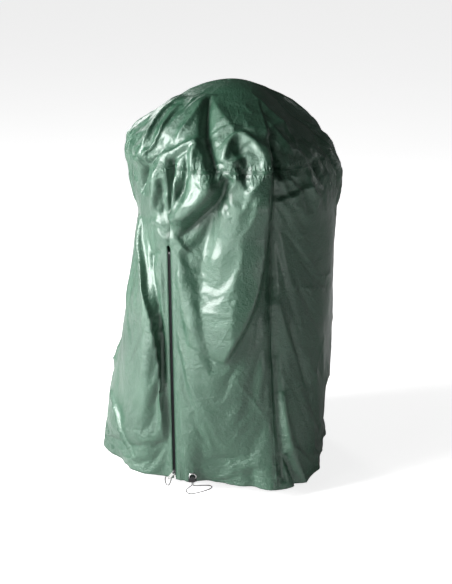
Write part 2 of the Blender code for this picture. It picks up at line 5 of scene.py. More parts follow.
import bmesh
import bpy
import numpy as np
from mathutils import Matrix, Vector


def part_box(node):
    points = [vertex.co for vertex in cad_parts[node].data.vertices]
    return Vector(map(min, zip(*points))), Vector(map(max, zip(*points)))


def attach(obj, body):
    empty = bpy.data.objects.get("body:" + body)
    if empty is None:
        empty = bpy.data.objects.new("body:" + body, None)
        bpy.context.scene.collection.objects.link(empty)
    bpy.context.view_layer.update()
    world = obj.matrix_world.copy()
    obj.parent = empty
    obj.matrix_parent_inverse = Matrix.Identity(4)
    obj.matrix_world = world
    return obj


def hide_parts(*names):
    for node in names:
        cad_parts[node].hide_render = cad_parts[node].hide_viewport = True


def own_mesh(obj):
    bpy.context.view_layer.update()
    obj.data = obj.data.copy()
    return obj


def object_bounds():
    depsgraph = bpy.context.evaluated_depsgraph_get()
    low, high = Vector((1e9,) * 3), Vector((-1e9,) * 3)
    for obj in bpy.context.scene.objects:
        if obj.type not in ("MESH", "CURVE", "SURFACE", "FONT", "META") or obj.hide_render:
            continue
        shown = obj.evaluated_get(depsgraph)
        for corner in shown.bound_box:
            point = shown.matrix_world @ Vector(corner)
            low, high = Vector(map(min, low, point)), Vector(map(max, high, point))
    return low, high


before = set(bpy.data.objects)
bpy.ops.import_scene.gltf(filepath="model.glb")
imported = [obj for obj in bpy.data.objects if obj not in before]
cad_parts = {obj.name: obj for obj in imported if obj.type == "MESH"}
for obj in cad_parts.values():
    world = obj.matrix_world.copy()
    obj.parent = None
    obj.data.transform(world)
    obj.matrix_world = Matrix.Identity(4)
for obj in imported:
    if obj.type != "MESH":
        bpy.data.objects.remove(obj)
CAD_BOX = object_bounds()

MM = 0.001

# The cover's shape: the same driving dimensions and curves as its CAD panels
SHOULDER_Z = 0.875
CROWN_RISE = 0.172
DOME_FULLNESS = 1.18
DOME_FLATNESS = 1.24
RIDGE_ANGLE = 120.0
FRONT_SEAM = 55.0
BACK_SEAM = 208.0
ZIP_FOOT = np.array((0.0, -0.279, 0.0))
ZIP_HEAD = np.array((-0.022, -0.262, 0.820))
ZIP_TOP = 0.652
ZIP_CLOSES = 0.661
HEM_RING = np.array((
    (0, 0.279), (25, 0.263), (42, 0.300), (57, 0.345), (76, 0.322), (100, 0.290),
    (140, 0.303), (190, 0.300), (235, 0.310), (280, 0.336), (306, 0.352),
    (323, 0.314), (341, 0.314)))
SECTIONS = np.array((
    (0.00, 0.304, -0.020), (0.30, 0.297, 0.000), (0.45, 0.291, 0.010),
    (0.62, 0.273, 0.026), (0.70, 0.268, 0.032), (0.79, 0.284, 0.030),
    (0.875, 0.279, 0.018)))
MEAN_RADIUS = 0.281
FLARE_TOP = 0.45
FLAT_TURN = 13.0
CLOTH_THICK = 0.8 * MM
SEAM_HALF = 0.05 * MM
CELL = 5 * MM
HOLD = 0.11

# How much larger the cloth was cut than the space it is held in, and where it gathers
EXTRA_ROUND = 0.060
EXTRA_UP = 0.045
GATHER_AT = 0.85
GATHER_WIDE = 0.11
GATHER_TALL = 0.09
GATHER_ROUND = 0.05
GATHER_UP = 0.016

# How far a point may move as the cloth settles, and its depths from the plain surface
MOST_MOVE = 22 * MM
DEEPEST = -32 * MM
PROUDEST = 26 * MM

# The crown's soft peak over the lid's handle
CROWN_LIFT = 15.0 * MM
CROWN_AT = (0.050, 0.035)


# ---------------------------------------------------------------- the cover's surface

def ring_radius(angle):
    """Hem radius at each angle: a smooth closed curve through HEM_RING."""
    count = len(HEM_RING)
    angle = np.mod(angle, 360.0)
    first = np.searchsorted(HEM_RING[:, 0], angle, side="right") - 1

    def knot(step):
        turn, place = np.divmod(first + step, count)
        return HEM_RING[place, 0] + 360.0 * turn, HEM_RING[place, 1]
    (a0, r0), (a1, r1), (a2, r2), (a3, r3) = [knot(step) for step in (-1, 0, 1, 2)]
    span = a2 - a1
    t = (angle - a1) / span
    slope_a = (r2 - r0) / (a2 - a0) * span
    slope_b = (r3 - r1) / (a3 - a1) * span
    return (r1 * (2 * t ** 3 - 3 * t ** 2 + 1) + slope_a * (t ** 3 - 2 * t ** 2 + t)
            + r2 * (3 * t ** 2 - 2 * t ** 3) + slope_b * (t ** 3 - t ** 2))


def section(z):
    """Radius and lean of the round section at each height."""
    z = np.clip(z, 0.0, SHOULDER_Z)
    place = np.clip(np.searchsorted(SECTIONS[:, 0], z, side="right") - 1, 0, len(SECTIONS) - 2)
    low = SECTIONS[place]
    high = SECTIONS[place + 1]
    t = (z - low[..., 0]) / (high[..., 0] - low[..., 0])
    t = t * t * (3.0 - 2.0 * t)
    return (low[..., 1] + (high[..., 1] - low[..., 1]) * t,
            low[..., 2] + (high[..., 2] - low[..., 2]) * t)


def zip_line(z):
    return ZIP_FOOT + (ZIP_HEAD - ZIP_FOOT) * (np.asarray(z)[..., None] / ZIP_HEAD[2])


def zip_angle(z):
    line = zip_line(z)
    return np.degrees(np.arctan2(line[..., 0], -line[..., 1]))


def zip_axes():
    """Across, inward and up directions of the flat strip that carries the zip."""
    up = (ZIP_HEAD - ZIP_FOOT) / np.linalg.norm(ZIP_HEAD - ZIP_FOOT)
    middle = math.radians(float(zip_angle(0.0) + zip_angle(ZIP_HEAD[2])) / 2.0)
    inward = np.array((-math.sin(middle), math.cos(middle), 0.0))
    inward -= up * inward.dot(up)
    inward /= np.linalg.norm(inward)
    return np.cross(inward, up), inward, up


ACROSS, INWARD, UPWARD = zip_axes()


def zip_point(x, y, z):
    return ZIP_FOOT + ACROSS * x + INWARD * y + UPWARD * z


def skirt_point(angle, z):
    """Outer face of the skirt, flat near the zip and round elsewhere."""
    radius, lean = section(z)
    upper = radius + lean * np.cos(np.radians(angle - RIDGE_ANGLE))
    share = np.maximum(0.0, 1.0 - z / FLARE_TOP) ** 1.6
    out = upper + (ring_radius(angle) - upper) * share
    turn = np.radians(angle)
    curved = np.stack([out * np.sin(turn), -out * np.cos(turn), z], -1)
    off = (angle - zip_angle(z) + 180.0) % 360.0 - 180.0
    line = zip_line(z)
    reach = np.radians(off) * np.hypot(line[..., 0], line[..., 1])
    flat = line + ACROSS * reach[..., None]
    flat[..., 2] = z
    return curved + (flat - curved) * np.exp(-(off / FLAT_TURN) ** 4)[..., None]


def dome_point(angle, out):
    """Outer face of the hood: out runs from 0 at the crown to 1 at the shoulder."""
    quarter = np.minimum(out, 1.0) * math.pi / 2.0
    rim = skirt_point(angle, np.full_like(quarter, SHOULDER_Z))
    share = np.sin(quarter) ** DOME_FULLNESS
    rise = CROWN_RISE * np.maximum(0.0, np.cos(quarter)) ** DOME_FLATNESS
    return np.stack([rim[..., 0] * share, rim[..., 1] * share, SHOULDER_Z + rise], -1)


def dome_arc():
    """Length up the dome at a run of out values, shoulder to crown."""
    outs = np.linspace(1.0, 0.0, 400)
    quarter = outs * math.pi / 2.0
    side = MEAN_RADIUS * np.sin(quarter) ** DOME_FULLNESS
    rise = CROWN_RISE * np.cos(quarter) ** DOME_FLATNESS
    steps = np.hypot(np.diff(side), np.diff(rise))
    return np.concatenate([[0.0], np.cumsum(steps)]), outs


ARCS, OUTS = dome_arc()
CROWN = SHOULDER_Z + ARCS[-1]


def cover_point(angle, along):
    """Outer face at an angle and a length measured up the cloth from the hem."""
    angle, along = np.broadcast_arrays(np.asarray(angle, float), np.asarray(along, float))
    skirt = skirt_point(angle, np.minimum(along, SHOULDER_Z))
    out = np.interp(along - SHOULDER_Z, ARCS, OUTS)
    return np.where((along <= SHOULDER_Z)[..., None], skirt, dome_point(angle, out))


def cover_normal(angle, along):
    step = 0.4
    rise = 1.5 * MM
    around = cover_point(angle + step, along) - cover_point(angle - step, along)
    up = cover_point(angle, along + rise) - cover_point(angle, along - rise)
    normal = np.cross(around, up)
    return normal / np.maximum(np.linalg.norm(normal, axis=-1, keepdims=True), 1e-12)


# ---------------------------------------------------------------- folds

def smooth_path(points, per_span):
    """Points along a Catmull-Rom curve through a few chosen ones."""
    points = np.asarray(points, float)
    ends = np.vstack([points[0] * 2 - points[1], points, points[-1] * 2 - points[-2]])
    path = []
    for i in range(1, len(ends) - 2):
        a, b, c, d = ends[i - 1:i + 3]
        for step in range(per_span):
            t = step / per_span
            path.append(0.5 * (2 * b + (c - a) * t + (2 * a - 5 * b + 4 * c - d) * t * t
                               + (3 * b - a - 3 * c + d) * t ** 3))
    path.append(points[-1])
    return np.array(path)


class Fold:
    """A fold laid along a few points of the cloth, each an angle in degrees and a length
    up the cloth in metres. Height and widths are in millimetres; a valley's height is
    negative. The two widths are to the left and right of the way the points run. Lean
    pushes the crest over to the right. Sharp is 1 for a tent and 2 for a round crest."""

    def __init__(self, height, widths, points, sharp=1.5, lean=0.0, ends=(0.0, 0.0)):
        self.height = height * MM
        self.left = widths[0] * MM
        self.right = widths[1] * MM
        self.lean = lean * MM
        self.sharp = sharp
        self.ends = ends
        path = smooth_path(points, 8)
        self.path = cover_point(path[:, 0], path[:, 1])
        self.normal = cover_normal(path[:, 0], path[:, 1])

    def envelope(self, u):
        """Share of the height along the fold: it dies away at each open end."""
        start, end = self.ends
        arch = np.sqrt(np.maximum(0.0, np.sin(math.pi * np.clip(u, 0.0, 1.0))))
        low = start * (1.0 - u) + end * u
        return low + (1.0 - low) * arch

    def add(self, points, move):
        """Add the fold's push to move, for the points near enough to feel it."""
        reach = 3.2 * max(self.left, self.right)
        low = self.path.min(0) - reach
        high = self.path.max(0) + reach
        near = np.where(np.all((points > low) & (points < high), axis=1))[0]
        if not len(near):
            return
        spot = points[near]
        best = np.full(len(near), 1e9)
        share = np.zeros(len(near))
        side = np.zeros(len(near))
        across = np.zeros((len(near), 3))
        count = len(self.path) - 1
        for i in range(count):
            a = self.path[i]
            run = self.path[i + 1] - a
            t = np.clip((spot - a) @ run / (run @ run), 0.0, 1.0)
            gap = spot - (a + t[:, None] * run)
            far = np.einsum("ij,ij->i", gap, gap)
            closer = far < best
            best[closer] = far[closer]
            share[closer] = (i + t[closer]) / count
            right = np.cross(run, self.normal[i])
            right /= np.linalg.norm(right)
            side[closer] = (gap @ right)[closer]
            across[closer] = right
        distance = np.sqrt(best)
        width = np.where(side > 0.0, self.right, self.left)
        profile = np.exp(-(distance / width) ** self.sharp) * self.envelope(share)
        move["out"][near] += self.height * profile
        if self.lean:
            move["aside"][near] += across * (self.lean * profile ** 2)[:, None]


def wave_noise(points, seed, size, stretch=1.0, waves=40):
    """Smooth noise in space, about -1 to 1: crossed waves, stretched up the cover."""
    rng = np.random.default_rng(seed)
    total = np.zeros(len(points))
    for _ in range(waves):
        way = rng.normal(size=3)
        way /= np.linalg.norm(way)
        way[2] /= stretch
        way *= 2.0 * math.pi / (size * rng.uniform(0.6, 1.7))
        total += np.cos(points @ way + rng.uniform(0.0, 2.0 * math.pi))
    return total / math.sqrt(waves / 2.0)


def bell(x, width):
    return np.exp(-(x / width) ** 2)


def hood_folds():
    """The hood's folds at the front and right, listed one by one."""
    return [
        # the hood hangs off the grill's lid: flatter on the right, fuller on the left
        Fold(-36, (100, 100), ((75, 1.00), (105, 1.01), (140, 1.03)), 2.0),
        Fold(-13, (70, 70), ((82, 0.93), (112, 0.93), (145, 0.94)), 2.0),
        Fold(6, (45, 45), ((85, 0.84), (115, 0.835), (150, 0.84)), 2.0),
        Fold(9, (50, 50), ((-85, 0.92), (-62, 0.94), (-42, 0.97)), 2.0),
        Fold(-24, (85, 85), ((-135, 1.07), (-95, 1.06), (-58, 1.09)), 2.0),
        # broad pale strips on the left, each ending in a pinched edge
        Fold(21, (62, 11), ((-30, 0.86), (-27, 0.93), (-31, 0.99), (-36, 1.10)), 1.1, lean=8),
        Fold(-5, (9, 18), ((-22, 0.90), (-25, 0.97), (-31, 1.06)), 1.2),
        Fold(20, (24, 9), ((-30, 0.83), (-20, 0.92), (-18, 0.985), (-21, 1.06)), 1.1, lean=7),
        Fold(6, (8, 5), ((-16, 0.93), (-12, 0.99), (-12, 1.06), (-14, 1.10)), 1.0),
        Fold(-14, (13, 12), ((-29, 0.83), (-15, 0.895), (-10, 0.95)), 1.3),
        # the deep pleat from high on the front, and its bright side
        Fold(-36, (10, 14), ((26, 0.835), (23, 0.905), (17, 0.975), (13, 1.04), (8, 1.115)),
             1.2),
        Fold(18, (50, 14), ((-4, 0.94), (3, 1.02), (5, 1.125)), 1.2),
        Fold(16, (34, 40), ((37, 0.985), (25, 1.05), (9, 1.125)), 1.1),
        Fold(7, (26, 10), ((-10, 0.97), (-7, 1.04), (2, 1.12)), 1.1),
        Fold(-6, (10, 14), ((-14, 0.98), (-13, 1.05), (-4, 1.12)), 1.2),
        # creases across the foot of the bright side
        Fold(9, (20, 7), ((17, 0.975), (35, 0.998), (57, 0.985)), 1.0),
        Fold(-6, (6, 8), ((18, 0.985), (30, 1.003), (44, 1.003)), 1.0),
        Fold(17, (26, 8), ((16, 0.972), (6, 0.935), (-14, 0.897)), 1.1),
        Fold(-16, (8, 10), ((12, 0.945), (3, 0.91), (-4, 0.885)), 1.3),
        Fold(10, (12, 10), ((13, 0.87), (12, 0.91), (14, 0.945)), 1.4),
        # the round pocket with a hollow inside it
        Fold(22, (15, 13), ((29, 0.90), (33, 0.960), (42, 0.966), (51, 0.915), (49, 0.85),
                            (40, 0.822)), 1.5),
        Fold(-17, (15, 15), ((37, 0.94), (41, 0.895), (41, 0.855)), 1.5),
        Fold(9, (6, 8), ((29, 0.893), (36, 0.905), (43, 0.925)), 1.0),
        # the pit right of the pocket, with puckers running out of it
        Fold(-28, (10, 13), ((60, 0.855), (57, 0.90), (57, 0.965)), 1.3),
        Fold(12, (30, 12), ((90, 0.88), (87, 0.95), (80, 1.05)), 1.1),
        Fold(9, (24, 16), ((70, 0.885), (67, 0.94), (60, 1.04)), 1.2),
        Fold(-8, (10, 14), ((78, 0.89), (75, 0.94), (70, 0.99)), 1.2),
        Fold(5, (9, 9), ((64, 1.00), (76, 1.00), (90, 0.98)), 1.0),
        Fold(4, (10, 8), ((35, 1.03), (55, 1.045), (80, 1.05)), 1.0),
        Fold(4, (8, 10), ((30, 1.08), (60, 1.09), (95, 1.08)), 1.0),
    ]


def shoulder_folds():
    """Gathers, flaps and dents that cross the shoulder seam at the front and right."""
    return [
        Fold(-30, (7, 9), ((-4, 0.745), (-3, 0.80), (-3, 0.845), (-2, 0.90)), 1.3),
        Fold(-18, (8, 10), ((4, 0.795), (7, 0.845), (8, 0.93)), 1.3),
        Fold(14, (10, 9), ((0, 0.76), (2, 0.81), (2, 0.86)), 1.4),
        Fold(13, (17, 14), ((-18, 0.73), (-14, 0.80), (-15, 0.865)), 1.6),
        Fold(-12, (12, 12), ((-9, 0.74), (-8, 0.79), (-10, 0.84)), 1.4),
        Fold(8, (6, 10), ((-45, 0.82), (-29, 0.795)), 1.0),
        Fold(-26, (9, 12), ((-33, 0.78), (-28, 0.83), (-25, 0.885)), 1.2),
        Fold(5, (5, 6), ((-9, 0.80), (-4, 0.79)), 1.0),
        Fold(6, (7, 7), ((12, 0.865), (18, 0.845), (20, 0.83)), 1.2),
        # the pale lobe that runs down to the zip, and the dark hollow right of it
        Fold(31, (40, 22), ((-3, 0.73), (9, 0.765), (18, 0.81), (27, 0.87)), 1.2),
        Fold(-42, (13, 34), ((2, 0.685), (15, 0.745), (26, 0.80), (32, 0.865)), 1.3),
        Fold(-12, (14, 30), ((4, 0.63), (14, 0.68), (22, 0.75)), 1.6),
        Fold(-14, (6, 8), ((42, 0.825), (37, 0.895)), 1.2),
        Fold(7, (8, 6), ((33, 0.83), (36, 0.865), (36, 0.885)), 1.2),
        Fold(6, (7, 10), ((28, 0.806), (38, 0.789), (50, 0.802)), 1.0),
        Fold(-5, (9, 6), ((26, 0.816), (38, 0.800), (50, 0.812)), 1.0),
        Fold(7, (8, 10), ((53, 0.790), (63, 0.800), (80, 0.822), (97, 0.84)), 1.0),
        Fold(-7, (9, 7), ((56, 0.806), (66, 0.816), (80, 0.838)), 1.0),
        Fold(12, (8, 8), ((71, 0.81), (66, 0.84), (58, 0.878)), 1.1),
        Fold(10, (6, 7), ((64, 0.80), (60, 0.84), (56, 0.87)), 1.1),
        Fold(9, (7, 7), ((75, 0.85), (67, 0.855), (59, 0.88)), 1.1),
        Fold(-8, (6, 6), ((70, 0.825), (62, 0.865)), 1.1),
        Fold(15, (14, 9), ((86, 0.775), (77, 0.825), (80, 0.875)), 1.2),
        Fold(-14, (9, 9), ((90, 0.80), (85, 0.85), (87, 0.895)), 1.2),
        Fold(10, (10, 8), ((98, 0.79), (93, 0.83), (95, 0.88)), 1.2),
    ]


def skirt_folds():
    """The skirt's long folds and packing creases at the front and right."""
    return [
        # the long pale facet down the front panel and the shade beside it
        Fold(46, (88, 12), ((29, 0.36), (37, 0.45), (46, 0.56), (50, 0.68), (51, 0.79), (53, 0.86)),
             1.15, ends=(0.0, 0.6)),
        Fold(-19, (22, 44), ((24, 0.33), (16, 0.53), (17, 0.66), (25, 0.77)), 1.4),
        Fold(-6, (14, 20), ((8, 0.50), (9, 0.60), (6, 0.66)), 1.4),
        Fold(-19, (20, 12), ((58, 0.03), (57, 0.30), (55, 0.55), (55, 0.87)), 1.2,
             ends=(0.5, 0.7)),
        # the big fold from the left that laps towards the zip
        Fold(29, (95, 6), ((-2, 0.11), (-6, 0.19), (-12, 0.40), (-16, 0.49), (-25, 0.57),
                           (-36, 0.66), (-40, 0.71)), 1.1, lean=15),
        Fold(-17, (9, 13), ((-5, 0.24), (-9, 0.42), (-12, 0.51), (-19, 0.58), (-29, 0.68)),
             1.3),
        Fold(18, (10, 5), ((-24, 0.03), (-30, 0.076), (-40, 0.14), (-53, 0.19)), 1.0),
        Fold(6, (40, 46), ((-38, 0.20), (-40, 0.40), (-45, 0.60)), 1.6),
        # packing creases
        Fold(7, (4, 7), ((64, 0.556), (97, 0.52)), 1.0),
        Fold(6, (5, 6), ((84, 0.565), (106, 0.55)), 1.0),
        Fold(4, (5, 9), ((5, 0.208), (20, 0.216), (46, 0.222)), 1.0),
        Fold(3.5, (5, 7), ((10, 0.50), (38, 0.498)), 1.0),
        Fold(4, (6, 8), ((3, 0.49), (16, 0.535)), 1.0),
        Fold(3, (6, 6), ((16, 0.21), (22, 0.12), (21, 0.07)), 1.0),
        Fold(6, (6, 6), ((34, 0.33), (45, 0.25), (52, 0.20)), 1.0),
        # hem pocket by the right-hand seam, and the folds above it
        Fold(-24, (10, 12), ((66, 0.0), (60, 0.10)), 1.3, ends=(1.0, 0.0)),
        Fold(15, (12, 20), ((69, 0.0), (62, 0.13), (60, 0.27)), 1.3, ends=(1.0, 0.0)),
        Fold(10, (18, 10), ((75, 0.29), (63, 0.44), (58, 0.53)), 1.1),
        Fold(-10, (12, 18), ((78, 0.25), (70, 0.385), (66, 0.45)), 1.3),
        Fold(9, (12, 12), ((78, 0.24), (86, 0.30), (98, 0.38)), 1.1),
        Fold(6, (24, 26), ((84, 0.02), (82, 0.12), (84, 0.24)), 1.5, ends=(0.8, 0.0)),
        Fold(-14, (70, 70), ((116, 0.0), (118, 0.22)), 2.0, ends=(1.0, 0.0)),
        Fold(-14, (60, 60), ((-62, 0.26), (-62, 0.48)), 2.0),
        Fold(12, (10, 14), ((-72, 0.17), (-63, 0.27), (-58, 0.37)), 1.1),
        Fold(-8, (10, 10), ((-66, 0.19), (-57, 0.28), (-53, 0.38)), 1.2),
        Fold(8, (7, 7), ((-26, 0.70), (-12, 0.725), (-5, 0.70)), 1.0),
        Fold(6, (6, 6), ((-15, 0.715), (-9, 0.69), (-4, 0.675)), 1.0),
        Fold(-9, (6, 6), ((-24, 0.61), (-15, 0.635), (-5, 0.65)), 1.0),
        Fold(5, (6, 8), ((-14, 0.46), (-6, 0.49)), 1.0),
        Fold(5, (6, 8), ((-12, 0.41), (-5, 0.43)), 1.0),
        Fold(-13, (8, 11), ((5.5, 0.0), (4.0, 0.06), (2.5, 0.12)), 1.3, ends=(1.0, 0.0)),
        # the hem's own drape: it flares either side of the eyelet
        Fold(7, (10, 14), ((2, 0.0), (3, 0.05), (3, 0.10)), 1.3, ends=(1.0, 0.0)),
        Fold(6, (22, 26), ((33, 0.0), (33, 0.08)), 1.6, ends=(1.0, 0.0)),
        Fold(-6, (14, 14), ((45, 0.0), (44, 0.06)), 1.6, ends=(1.0, 0.0)),
    ]


def loose_folds():
    """The folds of the sides and back: gathers at the shoulder, and long ones below."""
    rng = np.random.default_rng(5)
    folds = []
    angle = 106.0
    while angle < 318.0:
        lean = rng.uniform(-9.0, 9.0)
        low = rng.uniform(0.70, 0.79)
        high = rng.uniform(0.91, 1.01)
        width = rng.uniform(8.0, 13.0)
        folds.append(Fold(-rng.uniform(14.0, 24.0), (width, width),
                          ((angle + lean, low), (angle, 0.86), (angle - lean / 2, high)),
                          1.3))
        folds.append(Fold(rng.uniform(9.0, 15.0), (width * 1.8, width),
                          ((angle + 7 + lean * 1.4, low - 0.05), (angle + 7, 0.85),
                           (angle + 6, high)), 1.2))
        angle += rng.uniform(13.0, 19.0)
    for centre in (140, 166, 190, 228, 252, 276):
        sway = rng.uniform(-8.0, 8.0)
        folds.append(Fold(rng.uniform(10.0, 17.0), (rng.uniform(30, 50), rng.uniform(12, 20)),
                          ((centre + sway, 0.0), (centre + sway / 2, 0.25),
                           (centre, rng.uniform(0.50, 0.72))), 1.2, ends=(0.9, 0.0)))
    for _ in range(14):
        start = rng.uniform(112.0, 300.0)
        height = rng.uniform(0.08, 0.66)
        rise = rng.uniform(-0.04, 0.04)
        folds.append(Fold(rng.uniform(3.0, 5.0), (5, 7),
                          ((start, height), (start + rng.uniform(12, 34), height + rise)),
                          1.0))
    return folds


def seam_distance(angle, seam):
    """Signed distance round the cloth from an upright seam."""
    off = (angle - seam + 180.0) % 360.0 - 180.0
    return np.radians(off) * MEAN_RADIUS


def puckers(points, angle, along):
    """Small gathers that the stitching pulls in along every seam and the hem."""
    shoulder = along - SHOULDER_Z
    rise = wave_noise(points, 11, 0.030, 4.0)
    out = 2.2 * rise * MM * np.exp(-np.abs(shoulder) / 0.022)
    out -= 1.6 * MM * bell(shoulder, 0.006)
    beside = wave_noise(points, 13, 0.022)
    below = along < SHOULDER_Z
    for seam in (FRONT_SEAM, BACK_SEAM):
        gap = seam_distance(angle, seam)
        out += np.where(below, 0.8 * MM * beside * np.exp(-np.abs(gap) / 0.012), 0.0)
        out -= np.where(below, 0.8 * MM * bell(gap, 0.004), 0.0)
    hem = wave_noise(points, 14, 0.060, 9.0)
    out += 2.4 * MM * hem * np.exp(-along / 0.05)
    return out


# The strip beside the zip that has no folds, wider where the raised tab lies on the cloth
FLAT_HALF = 0.0155
FLAT_FADE = 0.014
TAB_ROOM = 0.012
TAB_TALL = 0.035
RAISED_TAB_Z = 0.625


def zip_calm(angle, along):
    """0 on the zip's own flat strip, 1 well away from it and above the zip."""
    gap = np.abs(seam_distance(angle, zip_angle(np.minimum(along, SHOULDER_Z))))
    flat = FLAT_HALF + TAB_ROOM * bell(along - RAISED_TAB_Z, TAB_TALL)
    calm = np.clip((gap - flat) / FLAT_FADE, 0.0, 1.0)
    above = np.clip((along - ZIP_TOP) / 0.03, 0.0, 1.0)
    calm = np.maximum(calm, above)
    return calm * calm * (3.0 - 2.0 * calm)


FOLDS = hood_folds() + shoulder_folds() + skirt_folds() + loose_folds()


def folded(angle, along):
    """Outer face of the cloth with all of its folds."""
    shape = angle.shape
    angle = angle.ravel()
    along = along.ravel()
    points = cover_point(angle, along)
    normal = cover_normal(angle, along)
    move = {"out": np.zeros(len(points)), "aside": np.zeros((len(points), 3))}
    for fold in FOLDS:
        fold.add(points, move)
    out = move["out"]
    out += 2.6 * MM * wave_noise(points, 21, 0.20, 2.2)
    out += 0.8 * MM * wave_noise(points, 22, 0.075, 1.2)
    busy = 0.4 + bell(along - 0.86, 0.12)
    crumple = 1.0 - np.abs(wave_noise(points, 23, 0.07, 1.2))
    finer = 1.0 - np.abs(wave_noise(points, 24, 0.03, 1.0))
    out += (1.7 * crumple + 0.6 * finer) * busy * MM
    out += puckers(points, angle, along)
    top = np.clip((CROWN - along) / 0.17, 0.0, 1.0)
    calm = zip_calm(angle, along) * top * top * (3.0 - 2.0 * top)
    points += normal * (out * calm)[:, None] + move["aside"] * calm[:, None]
    from_top = np.linalg.norm(points[:, :2] - CROWN_AT, axis=1)
    points[:, 2] += CROWN_LIFT * bell(from_top, 0.14) * (along > SHOULDER_Z)
    return points.reshape(*shape, 3)


# ---------------------------------------------------------------- materials

class Shader:
    """A node material built round one Principled shader."""

    def __init__(self, name, **values):
        self.material = bpy.data.materials.new(name)
        self.material.use_nodes = True
        self.tree = self.material.node_tree
        self.main = self.tree.nodes["Principled BSDF"]
        self.feed(**values)

    def feed(self, **values):
        """Set or link inputs of the Principled shader, named with _ for each space."""
        self.fill(self.main, {key.replace("_", " "): value for key, value in values.items()})

    def fill(self, node, inputs):
        """Set each input of a node to a value, or link it where the value is a socket."""
        for key, value in inputs.items():
            if isinstance(value, bpy.types.NodeSocket):
                self.tree.links.new(value, node.inputs[key])
            else:
                node.inputs[key].default_value = value

    def node(self, kind, inputs, **settings):
        made = self.tree.nodes.new(kind)
        for key, value in settings.items():
            setattr(made, key, value)
        self.fill(made, inputs)
        return made

    def uv(self, layer="cloth"):
        return self.node("ShaderNodeUVMap", {}, uv_map=layer).outputs["UV"]

    def object_place(self):
        return self.node("ShaderNodeTexCoord", {}).outputs["Object"]

    def noise(self, vector, scale, detail=3.0, rough=0.5):
        made = self.node("ShaderNodeTexNoise", {"Vector": vector, "Scale": scale,
                                                "Detail": detail, "Roughness": rough})
        return made.outputs["Fac"]

    def waves(self, vector, scale, direction):
        made = self.node("ShaderNodeTexWave", {"Vector": vector, "Scale": scale,
                                               "Distortion": 0.6, "Detail": 1.0},
                         bands_direction=direction)
        return made.outputs["Fac"]

    def math(self, operation, a, b=0.0):
        return self.node("ShaderNodeMath", {0: a, 1: b}, operation=operation).outputs[0]

    def ramp(self, factor, stops):
        made = self.node("ShaderNodeValToRGB", {"Fac": factor})
        elements = made.color_ramp.elements
        while len(elements) < len(stops):
            elements.new(0.5)
        for element, (place, colour) in zip(elements, stops):
            element.position = place
            element.color = (*colour, 1.0)
        return made.outputs["Color"]

    def spread(self, factor, low, high):
        made = self.node("ShaderNodeMapRange", {"Value": factor, "To Min": low, "To Max": high})
        return made.outputs["Result"]

    def bump(self, height, strength, distance, under=None):
        inputs = {"Height": height, "Strength": strength, "Distance": distance}
        if under is not None:
            inputs["Normal"] = under
        return self.node("ShaderNodeBump", inputs).outputs["Normal"]


def cloth_material(name, dark, light, rough, coat):
    """Coated woven polyester: a fine weave under a thin skin, ruffled along the seam."""
    s = Shader(name, Metallic=0.0, Coat_Weight=coat, Coat_Roughness=0.20,
               Specular_IOR_Level=0.75, Specular_Tint=(0.84, 1.0, 0.91, 1.0),
               Coat_Tint=(0.95, 1.0, 0.97, 1.0))
    place = s.uv()
    patch = s.noise(place, 7.0, 4.0, 0.55)
    grain = s.noise(place, 300.0, 3.0, 0.7)
    tint = s.math("ADD", s.math("MULTIPLY", patch, 0.75), s.math("MULTIPLY", grain, 0.25))
    wear = s.math("ADD", s.math("MULTIPLY", grain, 0.6), s.math("MULTIPLY", patch, 0.4))
    s.feed(Base_Color=s.ramp(tint, ((0.32, dark), (0.68, light))),
           Roughness=s.spread(wear, rough - 0.10, rough + 0.10))
    warp = s.waves(place, 160.0, "X")
    weft = s.waves(place, 160.0, "Y")
    weave = s.math("ADD", s.math("MULTIPLY", warp, weft), s.math("MULTIPLY", grain, 2.2))
    fine = s.bump(weave, 0.6, 0.0006, s.bump(grain, 0.4, 0.0010))
    fine = s.bump(s.noise(place, 125.0, 2.0, 0.6), 0.7, 0.0026, fine)
    fine = s.bump(creases(s, place), 0.6, 0.0016, fine)
    ruffle = s.bump(seam_ruffle(s), 0.9, 0.0016, fine)
    s.feed(Normal=s.bump(s.noise(place, 30.0, 5.0, 0.62), 0.35, 0.004, ruffle))
    return s.material


def creases(s, place):
    """Thin creases from being packed: the borders of large bent cells, some faint."""
    drift = s.node("ShaderNodeTexNoise", {"Vector": place, "Scale": 5.0})
    shift = s.node("ShaderNodeVectorMath", {0: drift.outputs["Color"], "Scale": 0.11},
                   operation="SCALE")
    bent = s.node("ShaderNodeVectorMath", {0: place, 1: shift.outputs[0]}, operation="ADD")
    cells = s.node("ShaderNodeTexVoronoi", {"Vector": bent.outputs[0], "Scale": 9.0},
                   voronoi_dimensions="2D", feature="DISTANCE_TO_EDGE")
    line = s.math("EXPONENT", s.math("MULTIPLY", cells.outputs["Distance"], -38.0))
    return s.math("MULTIPLY", line, s.noise(place, 9.0, 2.0))


def seam_ruffle(s):
    """Tight little gathers either side of the shoulder seam, fading within 20 mm."""
    where = s.uv(layer="seam")
    apart = s.node("ShaderNodeSeparateXYZ", {0: where})
    wobble = s.noise(where, 45.0, 2.0)
    turn = s.math("ADD", s.math("MULTIPLY", apart.outputs["X"], 2.0 * math.pi / 0.0095),
                  s.math("MULTIPLY", wobble, 14.0))
    far = s.math("ABSOLUTE", apart.outputs["Y"])
    near = s.math("EXPONENT", s.math("MULTIPLY", far, -110.0))
    return s.math("MULTIPLY", s.math("SINE", turn), near)


